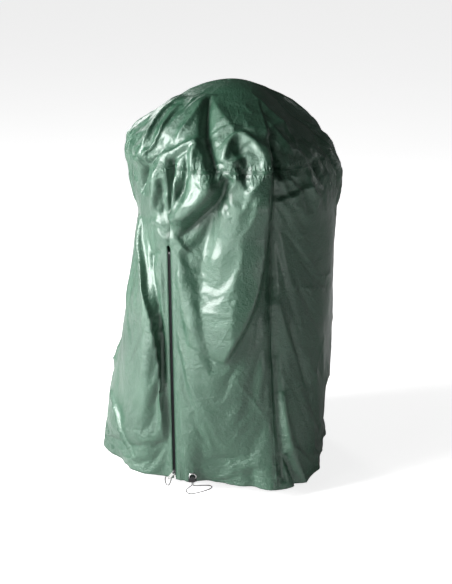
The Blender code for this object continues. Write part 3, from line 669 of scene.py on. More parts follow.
def plain_cloth(name, dark, light, rough, coat=0.0):
    """The same cloth where it is turned back: its weave is placed by the object."""
    s = Shader(name, Coat_Weight=coat, Coat_Roughness=0.26)
    place = s.object_place()
    patch = s.noise(place, 30.0, 4.0, 0.6)
    grain = s.noise(place, 500.0, 3.0, 0.7)
    s.feed(Base_Color=s.ramp(patch, ((0.3, dark), (0.7, light))),
           Roughness=s.spread(grain, rough - 0.1, rough + 0.1),
           Normal=s.bump(grain, 0.5, 0.0005))
    return s.material


def thread_material():
    s = Shader("green_thread", Roughness=0.7)
    place = s.object_place()
    tint = s.noise(place, 900.0, 2.0)
    s.feed(Base_Color=s.ramp(tint, ((0.3, (0.045, 0.105, 0.072)), (0.7, (0.12, 0.21, 0.155)))),
           Normal=s.bump(tint, 0.4, 0.0002))
    return s.material


def tape_material(name, colour, light, scale):
    """Woven black tape: fine ribs across, a little dust in the weave."""
    s = Shader(name)
    place = s.object_place()
    ribs = s.waves(place, scale, "Z")
    dust = s.noise(place, 160.0, 4.0)
    tone = s.math("MULTIPLY", ribs, dust)
    s.feed(Base_Color=s.ramp(tone, ((0.1, colour), (0.8, light))),
           Roughness=s.spread(dust, 0.55, 0.8), Normal=s.bump(ribs, 0.5, 0.0003))
    return s.material


def metal_material(name, colour, rough):
    """Plated metal with fine scratches and duller patches where it is handled."""
    s = Shader(name, Metallic=1.0)
    place = s.object_place()
    cloud = s.noise(place, 240.0, 5.0, 0.6)
    scratch = s.noise(place, 2600.0, 2.0)
    dull = tuple(c * 0.72 for c in colour)
    s.feed(Base_Color=s.ramp(cloud, ((0.35, dull), (0.65, colour))),
           Roughness=s.spread(cloud, rough - 0.06, rough + 0.14),
           Normal=s.bump(scratch, 0.12, 0.00012))
    return s.material


def plastic_material(name, colour, rough, gloss=0.5):
    s = Shader(name, Specular_IOR_Level=gloss)
    place = s.object_place()
    grain = s.noise(place, 1500.0, 3.0)
    cloud = s.noise(place, 120.0, 3.0)
    light = tuple(c * 1.9 + 0.004 for c in colour)
    s.feed(Base_Color=s.ramp(cloud, ((0.3, colour), (0.8, light))),
           Roughness=s.spread(cloud, rough - 0.05, rough + 0.1),
           Normal=s.bump(grain, 0.2, 0.00015))
    return s.material


OUTSIDE = ((0.014, 0.050, 0.029), (0.029, 0.079, 0.048))
INSIDE = ((0.020, 0.055, 0.036), (0.034, 0.078, 0.055))
GREEN = cloth_material("coated_cloth", *OUTSIDE, 0.32, 0.40)
INNER = plain_cloth("cloth_inside", *INSIDE, 0.62)
THREAD = thread_material()
GREEN_EDGE = plain_cloth("coated_cloth_edge", *OUTSIDE, 0.40, 0.08)
INNER_SOLID = plain_cloth("cloth_turned_back", *INSIDE, 0.62)
TAPE = tape_material("black_zip_tape", (0.003, 0.003, 0.004), (0.010, 0.010, 0.011), 900.0)
BINDING = tape_material("green_binding", (0.035, 0.075, 0.055), (0.075, 0.135, 0.10), 700.0)
CORD = tape_material("black_cord", (0.012, 0.012, 0.013), (0.05, 0.05, 0.052), 1300.0)
TEETH = plastic_material("zip_teeth_black", (0.002, 0.002, 0.003), 0.42, 0.12)
SILVER = metal_material("silver_plate", (0.72, 0.72, 0.71), 0.22)
ENAMEL = plastic_material("black_enamel", (0.020, 0.020, 0.022), 0.25)
LOCK = plastic_material("black_lock", (0.014, 0.014, 0.015), 0.36)
SPRING = metal_material("spring_steel", (0.55, 0.55, 0.56), 0.28)


def add_object(name, data):
    made = bpy.data.objects.new(name, data)
    bpy.context.scene.collection.objects.link(made)
    return made


def smooth_object(name, points, faces, material):
    """An object with a smooth mesh from arrays of points and of faces' corners."""
    mesh = bpy.data.meshes.new(name)
    mesh.from_pydata(points.tolist(), [], faces.tolist())
    mesh.shade_smooth()
    mesh.materials.append(material)
    return add_object(name, mesh)


def grid_quads(rows, columns):
    """Corners of each square of a grid of points that is counted row by row."""
    index = np.arange(rows * columns).reshape(rows, columns)
    corners = [index[:-1, :-1], index[:-1, 1:], index[1:, 1:], index[1:, :-1]]
    return np.stack(corners, -1).reshape(-1, 4)


def unit(rows):
    """Directions of length 1, one to a row."""
    return rows / np.linalg.norm(rows, axis=-1, keepdims=True)


def fit(piece, node=None, body="cover"):
    """Make a piece ride on a body and the CAD node it stands for."""
    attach(piece, body)
    if node:
        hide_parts(node)
    return piece


def dress(node, material):
    """Give a CAD node its finished material."""
    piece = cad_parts[node]
    piece.data.materials.clear()
    piece.data.materials.append(material)


# ---------------------------------------------------------------- camera and cords

def look(thing, target):
    thing.rotation_euler = (Vector(target) - thing.location).to_track_quat("-Z", "Y").to_euler()


def camera():
    data = bpy.data.cameras.new("camera")
    data.lens = 92.5
    data.sensor_width = 36.0
    made = add_object("camera", data)
    target = (0.0, 0.0, 0.46)
    away = 4.2
    turn = math.radians(30.5)
    rise = math.radians(19.0)
    made.location = (away * math.sin(turn) * math.cos(rise),
                     -away * math.cos(turn) * math.cos(rise),
                     target[2] + away * math.sin(rise))
    look(made, target)
    bpy.context.scene.camera = made


camera()

# The eyelet's own directions and middle, as the CAD places them
EYELET_RIGHT = np.array((0.863514, 0.504326, 0.0))
EYELET_OUT = np.array((0.501601, -0.858848, -0.103812))
EYELET_UP = np.array((0.052355, -0.089643, 0.994597))
EYELET_SPOT = np.array((0.05423, -0.271397, 0.0175))

# The cord: its slope out of the eyelet in degrees, and where it runs on past the lock
CORD_DIAMETER = 2.6 * MM
CORD_DROP = 35.0
CORD_RUN = 24.6 * MM
STRAND_X = 1.6 * MM
LOCK_AT = 9.6 * MM
SPRING_FOOT = 9.2 * MM
SPRING_LONG = 4.2 * MM
SPRING_TURNS = 3.5
SPRING_RADIUS = 3.3 * MM
SPRING_WIRE = 0.28 * MM

# Listed points of the free loop and of the short bight below the zip, in mm
LOOP = ((-10, 25, -20), (-17, 25, -29), (-14, 23, -38), (-3, 22, -41.5), (14, 22, -38),
        (34, 23, -31), (48, 24, -24), (53, 25, -17), (46, 26, -12.5), (28, 26, -12),
        (11, 25, -14))
BIGHT = ((-16.6, 7.8, 14), (-16.9, 11.8, 11.5), (-25, 13.5, 6), (-36, 13.0, -4),
         (-40, 12.0, -15), (-38, 11.5, -26), (-32, 11.5, -31), (-26, 11.5, -27),
         (-21, 11.5, -16), (-18, 11.0, -4), (-16, 9.5, 4))


def from_eyelet(x, out, up):
    return EYELET_SPOT + EYELET_RIGHT * x + EYELET_OUT * out + EYELET_UP * up


def drop_point(x, along):
    slope = math.radians(CORD_DROP)
    return from_eyelet(x, 2.2 * MM + along * math.cos(slope), -along * math.sin(slope))


def cord_curve(name, points):
    """A round braided cord: one open spline with a round bevel."""
    data = bpy.data.curves.new(name, "CURVE")
    data.dimensions = "3D"
    data.bevel_depth = CORD_DIAMETER / 2.0
    data.bevel_resolution = 4
    data.use_fill_caps = True
    spline = data.splines.new("POLY")
    spline.points.add(len(points) - 1)
    for place, point in enumerate(points):
        spline.points[place].co = (*point, 1.0)
    data.materials.append(CORD)
    return add_object(name, data)


def lock_spring():
    """The lock's coil spring, at one fixed length, riding on the lock's barrel."""
    along = drop_point(0.0, 10 * MM) - drop_point(0.0, 0.0)
    along /= np.linalg.norm(along)
    square = np.cross(EYELET_RIGHT, along)
    foot = drop_point(0.0, LOCK_AT) - SPRING_FOOT * EYELET_RIGHT
    up = np.linspace(0.0, SPRING_LONG, 84)[:, None]
    turn = np.linspace(0.0, SPRING_TURNS * 2.0 * math.pi, 84)[:, None]
    around = np.cos(turn) * along + np.sin(turn) * square
    coil = cord_curve("lock_spring_coil", foot + up * EYELET_RIGHT + SPRING_RADIUS * around)
    coil.data.bevel_depth = SPRING_WIRE
    coil.data.materials[0] = SPRING
    shape = coil.evaluated_get(bpy.context.evaluated_depsgraph_get())
    mesh = bpy.data.meshes.new_from_object(shape)
    bpy.data.objects.remove(coil)
    made = add_object("lock_spring_coil", mesh)
    fit(made, "cord_lock_spring", "lock_barrel")
    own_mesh(made)
    return made


def drawcords():
    near = [from_eyelet(-STRAND_X, -4.3 * MM, 0.0), from_eyelet(-STRAND_X, 0.0, 0.0),
            drop_point(-STRAND_X, 1.6 * MM)]
    far = [drop_point(STRAND_X, 1.6 * MM), from_eyelet(STRAND_X, 0.0, 0.0),
           from_eyelet(STRAND_X, -4.3 * MM, 0.0)]
    bend = [from_eyelet(x * MM, y * MM, z * MM) for x, y, z in LOOP]
    curve = smooth_path([drop_point(-STRAND_X, CORD_RUN)] + bend
                        + [drop_point(STRAND_X, CORD_RUN)], 8)
    points = np.vstack([near, curve, far])
    loop = fit(cord_curve("drawcord_loop_braid", points), "drawcord_loop")
    lock_spring()
    points = smooth_path([zip_point(x * MM, y * MM, z * MM) for x, y, z in BIGHT], 6)
    bight = fit(cord_curve("drawcord_bight_braid", points), "drawcord_bight")


drawcords()


# ---------------------------------------------------------------- cloth panels

def add_uv(mesh, name, uv):
    layer = mesh.uv_layers.new(name=name)
    corners = np.zeros(len(mesh.loops), np.int32)
    mesh.loops.foreach_get("vertex_index", corners)
    layer.data.foreach_set("uv", uv.reshape(-1, 2)[corners].astype(np.float32).ravel())


def grid_object(name, points, uv, seam_uv, material, thickness):
    """A smooth sheet from a grid of points, with its flat pattern as a UV map."""
    quads = grid_quads(*points.shape[:2])
    made = smooth_object(name, points.reshape(-1, 3), quads, material)
    add_uv(made.data, "cloth", uv)
    add_uv(made.data, "seam", seam_uv)
    made["thickness"] = thickness
    return made


def thicken(panel):
    wall = panel.modifiers.new("thickness", "SOLIDIFY")
    wall.thickness = panel["thickness"]
    wall.offset = -1.0
    wall.use_even_offset = False


CLOTH_SETTINGS = (
    ("quality", 6), ("mass", 0.3), ("air_damping", 2.0),
    ("tension_stiffness", 40.0), ("compression_stiffness", 40.0), ("shear_stiffness", 18.0),
    ("bending_stiffness", 0.15), ("tension_damping", 12.0), ("compression_damping", 12.0),
    ("shear_damping", 12.0), ("bending_damping", 0.5), ("vertex_group_mass", "hold"),
    ("pin_stiffness", 0.8))
SETTLE_GRAVITY = 0.12


def settle(panel, cut, hold, frames=20):
    """Let the cloth buckle: it was cut larger than the space it is held in.

    cut is where each point would be on the cloth as cut, and hold is how firmly it is
    kept where the folds put it, 1 along the seams and little in between.
    """
    panel.shape_key_add(name="Basis")
    key = panel.shape_key_add(name="cut")
    key.data.foreach_set("co", cut.astype(np.float32).ravel())
    key.value = 0.0
    group = panel.vertex_groups.new(name="hold")
    levels = np.round(hold, 2)
    for level in np.unique(levels):
        group.add(np.where(levels == level)[0].tolist(), float(level), "REPLACE")
    cloth = panel.modifiers.new("settle", "CLOTH")
    for setting, value in CLOTH_SETTINGS:
        setattr(cloth.settings, setting, value)
    cloth.settings.rest_shape_key = key
    cloth.settings.effector_weights.gravity = SETTLE_GRAVITY
    cloth.collision_settings.use_collision = False
    cloth.collision_settings.use_self_collision = False
    cloth.point_cache.frame_start = 1
    cloth.point_cache.frame_end = frames
    for number in range(1, frames + 1):
        bpy.context.scene.frame_set(number)
    graph = bpy.context.evaluated_depsgraph_get()
    settled = panel.evaluated_get(graph)
    points = np.zeros(len(settled.data.vertices) * 3, np.float32)
    settled.data.vertices.foreach_get("co", points)
    panel.modifiers.remove(cloth)
    panel.shape_key_clear()
    panel.vertex_groups.clear()
    bpy.context.scene.frame_set(1)
    return points.reshape(-1, 3)


def cap(points, home, base, normal, most, lowest, highest):
    """Keep each point near where its fold put it, and between two depths of the surface."""
    move = points - home
    far = np.linalg.norm(move, axis=1)
    points = home + move * np.minimum(1.0, most / np.maximum(far, 1e-9))[:, None]
    depth = np.einsum("ij,ij->i", points - base, normal)
    return points + normal * (np.clip(depth, lowest, highest) - depth)[:, None]


PANELS = {}


def grid_normals(grid):
    """Outward direction at each point of a settled grid."""
    across = np.gradient(grid, axis=1)
    up = np.gradient(grid, axis=0)
    normal = np.cross(across, up)
    return normal / np.maximum(np.linalg.norm(normal, axis=-1, keepdims=True), 1e-12)


def settle_panel(panel, angle, along, borders, growth, hold_back):
    """Buckle one panel between its seams, and put the result in its mesh."""
    home = np.zeros(len(panel.data.vertices) * 3, np.float32)
    panel.data.vertices.foreach_get("co", home)
    home = home.reshape(-1, 3).astype(float)
    base = cover_point(angle.ravel(), along.ravel())
    normal = cover_normal(angle.ravel(), along.ravel())
    cut = base.copy()
    near = np.exp(-((along.ravel() - GATHER_AT) / GATHER_WIDE) ** 2)
    cut[:, :2] *= (1.0 + growth * (EXTRA_ROUND + GATHER_ROUND * near))[:, None]
    rise = EXTRA_UP * cut[:, 2] + GATHER_UP * np.tanh((cut[:, 2] - GATHER_AT) / GATHER_TALL)
    cut[:, 2] += growth * rise
    points = settle(panel, cut, np.maximum(borders.ravel(), hold_back))
    points = cap(points, home, base, normal, MOST_MOVE, DEEPEST, PROUDEST)
    panel.data.vertices.foreach_set("co", points.astype(np.float32).ravel())
    panel.data.update()
    grid = points.reshape(*angle.shape, 3)
    PANELS[panel.name] = (grid, grid_normals(grid), angle, along)
    thicken(panel)


def zip_edge(z, side):
    """Angle of the cloth's edge beside the zip; above the zip the two edges meet."""
    half = np.where(z < ZIP_CLOSES, 5.3 * MM, SEAM_HALF)
    line = zip_line(z)
    return zip_angle(z) + side * np.degrees(half / np.hypot(line[..., 0], line[..., 1]))


def skirt_panel(name, left, right, node):
    rows = int(SHOULDER_Z / CELL) + 1
    z = np.linspace(0.3 * MM, SHOULDER_Z - SEAM_HALF, rows)
    start = left(z)
    end = right(z)
    width = math.radians(float(end[0] - start[0])) * MEAN_RADIUS
    u = np.linspace(0.0, 1.0, int(width / CELL) + 1)
    angle = start[:, None] + (end - start)[:, None] * u[None, :]
    along = np.broadcast_to(z[:, None], angle.shape)
    points = folded(angle, along)
    uv = np.stack([np.radians(angle) * MEAN_RADIUS, along], -1)
    seam_uv = uv - (0.0, SHOULDER_Z)
    panel = grid_object(name, points, uv, seam_uv, GREEN, CLOTH_THICK)
    off = np.abs(seam_distance(angle, zip_angle(along)))
    borders = np.clip(1.6 - off / 0.016, 0.0, 1.0)
    borders[:, 0] = 1.0
    borders[:, -1] = 1.0
    borders[0, :] = 1.0
    borders[-1, :] = 1.0
    settle_panel(panel, angle, along, borders, 1.0, HOLD)
    fit(panel, node)


def hood_panel(name, start, node):
    """Half of the hood, from beside the ridge seam to the shoulder seam."""
    rows = int(ARCS[-1] / CELL)
    columns = int(math.pi * MEAN_RADIUS / CELL)
    along = np.linspace(SHOULDER_Z + SEAM_HALF, CROWN - 1.5 * MM, rows)
    out = np.interp(along - SHOULDER_Z, ARCS, OUTS)
    radius = MEAN_RADIUS * np.sin(out * math.pi / 2.0) ** DOME_FULLNESS
    edge = np.degrees(np.arcsin(np.minimum(1.0, SEAM_HALF / radius)))
    u = np.linspace(0.0, 1.0, columns)
    angle = start + edge[:, None] + (180.0 - 2.0 * edge)[:, None] * u[None, :]
    full = np.broadcast_to(along[:, None], angle.shape)
    points = folded(angle, full)
    turn = np.radians(angle - start)
    spread = (CROWN - full)
    uv = np.stack([spread * np.cos(turn), spread * np.sin(turn)], -1)
    seam_uv = np.stack([np.radians(angle) * MEAN_RADIUS, full - SHOULDER_Z], -1)
    panel = grid_object(name, points, uv, seam_uv, GREEN, CLOTH_THICK)
    borders = np.sqrt(np.clip((full - CROWN + 0.22) / 0.19, 0.0, 1.0))
    borders[:, 0] = 1.0
    borders[:, -1] = 1.0
    borders[0, :] = 1.0
    settle_panel(panel, angle, full, borders, 0.75, 1.3 * HOLD)
    fit(panel, node)


def seam_edge(seam, side):
    gap = SEAM_HALF / MEAN_RADIUS
    return lambda z: np.full_like(z, seam + side * math.degrees(gap))


def cloth_panels():
    skirt_panel("front_cloth", lambda z: zip_edge(z, 1), seam_edge(FRONT_SEAM, -1),
                "skirt_front_panel")
    skirt_panel("right_cloth", seam_edge(FRONT_SEAM, 1), seam_edge(BACK_SEAM, -1),
                "skirt_right_panel")
    skirt_panel("left_cloth", seam_edge(BACK_SEAM, 1), lambda z: 360.0 + zip_edge(z, -1),
                "skirt_left_panel")
    hood_panel("hood_front_cloth", RIDGE_ANGLE - 180.0, "hood_front_panel")
    hood_panel("hood_back_cloth", RIDGE_ANGLE, "hood_back_panel")


cloth_panels()


# ---------------------------------------------------------------- seams, hem and zip

def join_grids(name, grids, material, node=None):
    """One mesh from several grids of points, riding on the cover."""
    points = np.vstack([grid.reshape(-1, 3) for grid in grids])
    quads = []
    total = 0
    for grid in grids:
        rows, columns = grid.shape[:2]
        quads.append(grid_quads(rows, columns) + total)
        total += rows * columns
    return fit(smooth_object(name, points, np.vstack(quads), material), node)


def walled(made, thickness):
    made["thickness"] = thickness
    thicken(made)


def sample(name, row, column, depth):
    """Points of a settled panel at fractional rows and columns, depth under its face."""
    grid, normal = PANELS[name][:2]
    rows, columns = grid.shape[:2]
    row = np.clip(row, 0.0, rows - 1.001)
    column = np.clip(column, 0.0, columns - 1.001)
    r = row.astype(int)
    c = column.astype(int)
    fr = (row - r)[..., None]
    fc = (column - c)[..., None]

    def mix(field):
        low = field[r, c] * (1 - fc) + field[r, c + 1] * fc
        high = field[r + 1, c] * (1 - fc) + field[r + 1, c + 1] * fc
        return low * (1 - fr) + high * fr
    depth = np.asarray(depth, float)[..., None]
    return mix(grid) - mix(normal) * depth


def beside_edge(name, side, offsets, row, depth):
    """A grid beside a panel's first edge (side -1) or last edge (side 1).

    offsets are its points' distances from the edge, and row is where its rows lie.
    """
    grid = PANELS[name][0]
    rows, columns = grid.shape[:2]
    wide = np.linalg.norm(np.diff(grid, axis=1), axis=2).mean(axis=1)
    wide = np.interp(row, np.arange(rows), wide)
    column = np.minimum(np.asarray(offsets)[None, :] / wide[:, None], columns / 2.0 - 1.0)
    if side > 0:
        column = (columns - 1) - column
    row = np.broadcast_to(row[:, None], column.shape)
    return sample(name, row, column, np.broadcast_to(depth, column.shape))


def beside_seam(name, side, offsets, low, high, depth, step=0.006):
    """A grid that follows an upright edge of a skirt panel between two heights."""
    per_row = (len(PANELS[name][0]) - 1) / SHOULDER_Z
    return beside_edge(name, side, offsets, np.arange(low, high, step) * per_row, depth)


def beside_ridge(name, side, offsets, depth):
    """A grid that follows one half of the ridge edge of a hood panel."""
    row = np.arange(1.0, len(PANELS[name][0]) - 1.5, 1.5)
    return beside_edge(name, side, offsets, row, depth)


# Tapes inside the seams: how deep under the cloth's face, how thick, and where they end
TAPE_DEEP = 1.5 * MM
TAPE_THICK = 0.5 * MM
TAPE_LOW = 0.040
TAPE_HIGH = 0.849
FELL_THICK = 0.4 * MM
FELL_HIGH = 0.872
STITCH_HIGH = 0.870


def bindings():
    """Tapes inside the seams, lying on the settled cloth."""
    offsets = (0.0, 4 * MM, 9 * MM)
    for node, left, right, low in (
            ("seam_binding_front_right", "front_cloth", "right_cloth", TAPE_LOW),
            ("seam_binding_back", "right_cloth", "left_cloth", TAPE_LOW),
            ("seam_binding_above_zip", "left_cloth", "front_cloth", ZIP_TOP + 0.014)):
        grids = [beside_seam(left, 1, offsets[::-1], low, TAPE_HIGH, TAPE_DEEP),
                 beside_seam(right, -1, offsets, low, TAPE_HIGH, TAPE_DEEP)]
        walled(join_grids(f"{node}_tape", grids, BINDING, node), TAPE_THICK)
    grids = []
    for name in ("front_cloth", "right_cloth", "left_cloth"):
        rows, columns = PANELS[name][0].shape[:2]
        per_row = (rows - 1) / SHOULDER_Z
        row = (rows - 1) - np.array((22, 12, 2))[:, None] * MM * per_row
        column = np.arange(0.0, columns - 0.5, 1.0)[None, :]
        row, column = np.broadcast_arrays(row, column)
        grids.append(sample(name, row, column, np.full(row.shape, TAPE_DEEP)))
    walled(join_grids("shoulder_seam_tape", grids, BINDING, "shoulder_seam_binding"), TAPE_THICK)
    grids = []
    for side in (-1, 1):
        for name in ("hood_front_cloth", "hood_back_cloth"):
            grid = beside_ridge(name, side, offsets, TAPE_DEEP)
            grids.append(grid if side < 0 else grid[:, ::-1])
    walled(join_grids("ridge_seam_tape", grids, BINDING, "ridge_seam_binding"),
           TAPE_THICK)


# Distance from the seam and depth under the cloth's face, across half a felled seam
FELL_OUT = np.array((5.0, 4.3, 2.4, 0.5)) * MM
FELL_DEPTH = np.array((0.5, -0.35, -0.6, -0.55)) * MM


def ring_points(names, height, turns, depth):
    """Points round the cover at a length up the cloth, depth under its face."""
    made = np.zeros((len(turns), 3))
    for name in names:
        _, _, angle, along = PANELS[name]
        row = float(np.interp(height, along[:, 0], np.arange(len(along))))
        line = angle[int(row)]
        spot = (turns - line[0]) % 360.0 + line[0]
        inside = spot <= line[-1] + 0.2
        column = np.interp(spot[inside], line, np.arange(len(line)))
        made[inside] = sample(name, np.full(len(column), row), column,
                              np.full(len(column), depth))
    return made


def felled_seams():
    """Every seam is folded flat and stitched down as a raised strip."""
    for word, left, right, low in (
            ("front_right", "front_cloth", "right_cloth", 0.001),
            ("back", "right_cloth", "left_cloth", 0.001),
            ("above_zip", "left_cloth", "front_cloth", ZIP_CLOSES + 0.003)):
        grid = np.concatenate([
            beside_seam(left, 1, FELL_OUT, low, FELL_HIGH, FELL_DEPTH, 0.004),
            beside_seam(right, -1, FELL_OUT[::-1], low, FELL_HIGH, FELL_DEPTH[::-1], 0.004)], 1)
        walled(join_grids(f"felled_seam_{word}", [grid], GREEN_EDGE), FELL_THICK)
    turns = np.arange(0.0, 360.9, 0.8)
    rows = [ring_points(("front_cloth", "right_cloth", "left_cloth"), SHOULDER_Z - out, turns,
                        depth) for out, depth in zip(FELL_OUT, FELL_DEPTH)]
    rows += [ring_points(("hood_front_cloth", "hood_back_cloth"), SHOULDER_Z + out, turns,
                         depth) for out, depth in zip(FELL_OUT[::-1], FELL_DEPTH[::-1])]
    walled(join_grids("felled_seam_shoulder", [np.stack(rows, 0)], GREEN_EDGE), FELL_THICK)
    for side in (-1, 1):
        front = beside_ridge("hood_front_cloth", side, FELL_OUT[::-1], FELL_DEPTH[::-1])
        back = beside_ridge("hood_back_cloth", -side, FELL_OUT[::-1], FELL_DEPTH[::-1])
        grid = np.concatenate([front[:, ::-1], back], 1)
        grid = grid if side > 0 else grid[:, ::-1]
        walled(join_grids(f"felled_seam_ridge_{'left' if side < 0 else 'right'}", [grid],
                          GREEN_EDGE), FELL_THICK)


# The turned-up hem: how far it stops short of the zip, and where the cord runs in it
HEM_SHORT = 0.019
HEM_THICK = 0.5 * MM
HEM_CORD_UP = 12 * MM
HEM_CORD_DEEP = 3.2 * MM


def hem_folds():
    """The turned-up hem inside the skirt, with its cord running in it."""
    heights = np.array((0.6, 6, 13, 22, 30, 36)) * MM
    depths = np.array((1.3, 4.6, 5.8, 5.8, 4.6, 1.3)) * MM
    ends = {"front": (HEM_SHORT / MEAN_RADIUS, 0.0), "right": (0.0, 0.0),
            "left": (0.0, HEM_SHORT / MEAN_RADIUS)}
    run = []
    for word, (start, end) in ends.items():
        name = f"{word}_cloth"
        angle = PANELS[name][2]
        rows, columns = angle.shape
        wide = math.radians(angle[0, 1] - angle[0, 0])
        column = np.arange(start / wide, columns - 1 - end / wide, 1.0)[None, :]
        row = heights[:, None] * (rows - 1) / SHOULDER_Z
        row, column = np.broadcast_arrays(row, column)
        grid = sample(name, row, column, np.broadcast_to(depths[:, None], row.shape))
        walled(join_grids(f"hem_turned_up_{word}", [grid], INNER, f"hem_fold_{word}"), HEM_THICK)
        cord_row = np.full(column.shape[1], HEM_CORD_UP * (rows - 1) / SHOULDER_Z)
        deep = np.full(len(cord_row), HEM_CORD_DEEP)
        run.append(sample(name, cord_row, column[0], deep)[::2])
    points = np.vstack([run[0][3:], run[1], run[2]])
    fit(cord_curve("drawcord_in_hem_braid", points), "drawcord_in_hem")


STITCH = 3.0 * MM
STITCH_GAP = 0.9 * MM
THREAD_R = 0.32 * MM


def resample(points, normals, spacing):
    """Points, directions and normals at even distances along a path."""
    steps = np.linalg.norm(np.diff(points, axis=0), axis=1)
    far = np.concatenate([[0.0], np.cumsum(steps)])
    spots = np.arange(spacing, far[-1] - spacing, spacing)
    where = np.stack([np.interp(spots, far, points[:, k]) for k in range(3)], -1)
    facing = np.stack([np.interp(spots, far, normals[:, k]) for k in range(3)], -1)
    return where, unit(np.gradient(where, axis=0)), unit(facing)


def stitch_row(points, normals):
    """Every stitch of a row: short arched threads that dip into the cloth at both ends."""
    where, along, facing = resample(points, normals, STITCH + STITCH_GAP)
    aside = np.cross(along, facing)
    rings = ((-0.5, -0.15), (-0.25, 0.30), (0.25, 0.30), (0.5, -0.15))
    turns = [math.radians(a) for a in (0, 60, 120, 180, 270)]
    verts = []
    for place, rise in rings:
        for turn in turns:
            verts.append(where + along * (place * STITCH)
                         + aside * (THREAD_R * math.cos(turn))
                         + facing * (THREAD_R * math.sin(turn) + rise * MM))
    verts = np.stack(verts, 1)
    faces = []
    for ring in range(3):
        for k in range(5):
            a = ring * 5 + k
            b = ring * 5 + (k + 1) % 5
            faces.append((a, a + 5, b + 5, b))
    return verts.reshape(-1, 3), np.array(faces), len(turns) * len(rings), len(where)


def stitching(name, rows):
    points = []
    quads = []
    total = 0
    for path, normals in rows:
        verts, faces, size, count = stitch_row(path, normals)
        shift = total + np.arange(count)[:, None, None] * size
        quads.append((faces[None, :, :] + shift).reshape(-1, 4))
        points.append(verts)
        total += len(verts)
    fit(smooth_object(name, np.vstack(points), np.vstack(quads), THREAD))


STITCH_OUT = 3.3 * MM
ON_SEAM = -0.62 * MM


def facing_row(path_at, depth=ON_SEAM):
    """A path at a depth under the cloth's face, and the outward directions along it."""
    path = path_at(depth)
    return path, unit(path - path_at(1.0 * MM))


def edge_row(name, side, low, high, depth=ON_SEAM):
    """A path beside an upright edge of one skirt panel."""
    return facing_row(lambda deep: beside_seam(name, side, (STITCH_OUT,), low, high, deep,
                                               0.003)[:, 0], depth)


def ridge_row(name, side):
    """A path beside one half of a hood panel's ridge edge, short of the crown."""
    path, facing = facing_row(lambda deep: beside_ridge(name, side, (STITCH_OUT,), deep)[:, 0])
    return path[:-6], facing[:-6]


def ring_row(name, height, depth=ON_SEAM):
    """A path round one panel at a length up the cloth."""
    along = PANELS[name][3]
    column = np.arange(0.0, along.shape[1] - 0.5, 0.5)
    row = np.full(len(column), np.interp(height, along[:, 0], np.arange(len(along))))
    return facing_row(lambda deep: sample(name, row, column, np.full(len(column), deep)), depth)


def all_stitching():
    skirts = ("front_cloth", "right_cloth", "left_cloth")
    stitching("shoulder_stitching",
              [ring_row(name, SHOULDER_Z - STITCH_OUT) for name in skirts]
              + [ring_row(name, SHOULDER_Z + STITCH_OUT)
                 for name in ("hood_front_cloth", "hood_back_cloth")])
    stitching("hem_stitching", [ring_row(name, 34 * MM, 0.0) for name in skirts])
    rows = []
    for left, right in (("front_cloth", "right_cloth"), ("right_cloth", "left_cloth")):
        rows.append(edge_row(left, 1, 0.002, STITCH_HIGH))
        rows.append(edge_row(right, -1, 0.002, STITCH_HIGH))
    for name, side in (("left_cloth", 1), ("front_cloth", -1)):
        rows.append(edge_row(name, side, ZIP_CLOSES + 0.004, STITCH_HIGH))
        rows.append(edge_row(name, side, 0.002, ZIP_CLOSES, 0.0))
    stitching("upright_stitching", rows)
    stitching("ridge_stitching", [ridge_row(name, side)
                                  for name in ("hood_front_cloth", "hood_back_cloth")
                                  for side in (-1, 1)])


def rolled_edge(name, path, radius):
    """A rolled cloth edge along a path, as a tube of eight sides."""
    along = unit(np.gradient(path, axis=0))
    aside = unit(np.cross(along, INWARD))
    facing = np.cross(aside, along)
    turns = np.radians(np.arange(0, 361, 45))
    grid = np.stack([path + aside * (radius * math.cos(t)) + facing * (radius * math.sin(t))
                     for t in turns], 1)
    join_grids(name, [grid], GREEN_EDGE)


def zip_edges():
    for word, name, side in (("left", "left_cloth", 1), ("right", "front_cloth", -1)):
        path = beside_seam(name, side, (0.3 * MM,), 0.0005, ZIP_TOP + 0.006, 0.5 * MM,
                           0.004)[:, 0]
        rolled_edge(f"zip_rolled_edge_{word}", path, 0.95 * MM)


CHAIN_DEPTH = 1.6 * MM
TOOTH_PITCH = 3.0 * MM


def tooth_shape():
    """One moulded tooth: a waisted plate with a rounded head, x out from the cord."""
    outline = ((2.2, -0.55), (0.6, -0.42), (-0.1, -0.62), (-0.8, -0.62), (-1.15, 0.0),
               (-0.8, 0.62), (-0.1, 0.62), (0.6, 0.42), (2.2, 0.55))
    layers = ((0.25, 0.82), (0.55, 1.0), (1.85, 1.0), (2.15, 0.82))
    verts = []
    for depth, size in layers:
        for x, z in outline:
            verts.append((x * (0.5 + size / 2.0), depth, z * size))
    count = len(outline)
    top = (len(layers) - 1) * count
    faces = [tuple(range(count)), tuple(range(top, top + count))]
    for base in range(0, top, count):
        for k in range(count):
            a = base + k
            b = base + (k + 1) % count
            faces.append((a, b, b + count, a + count))
    return np.array(verts) * MM, faces


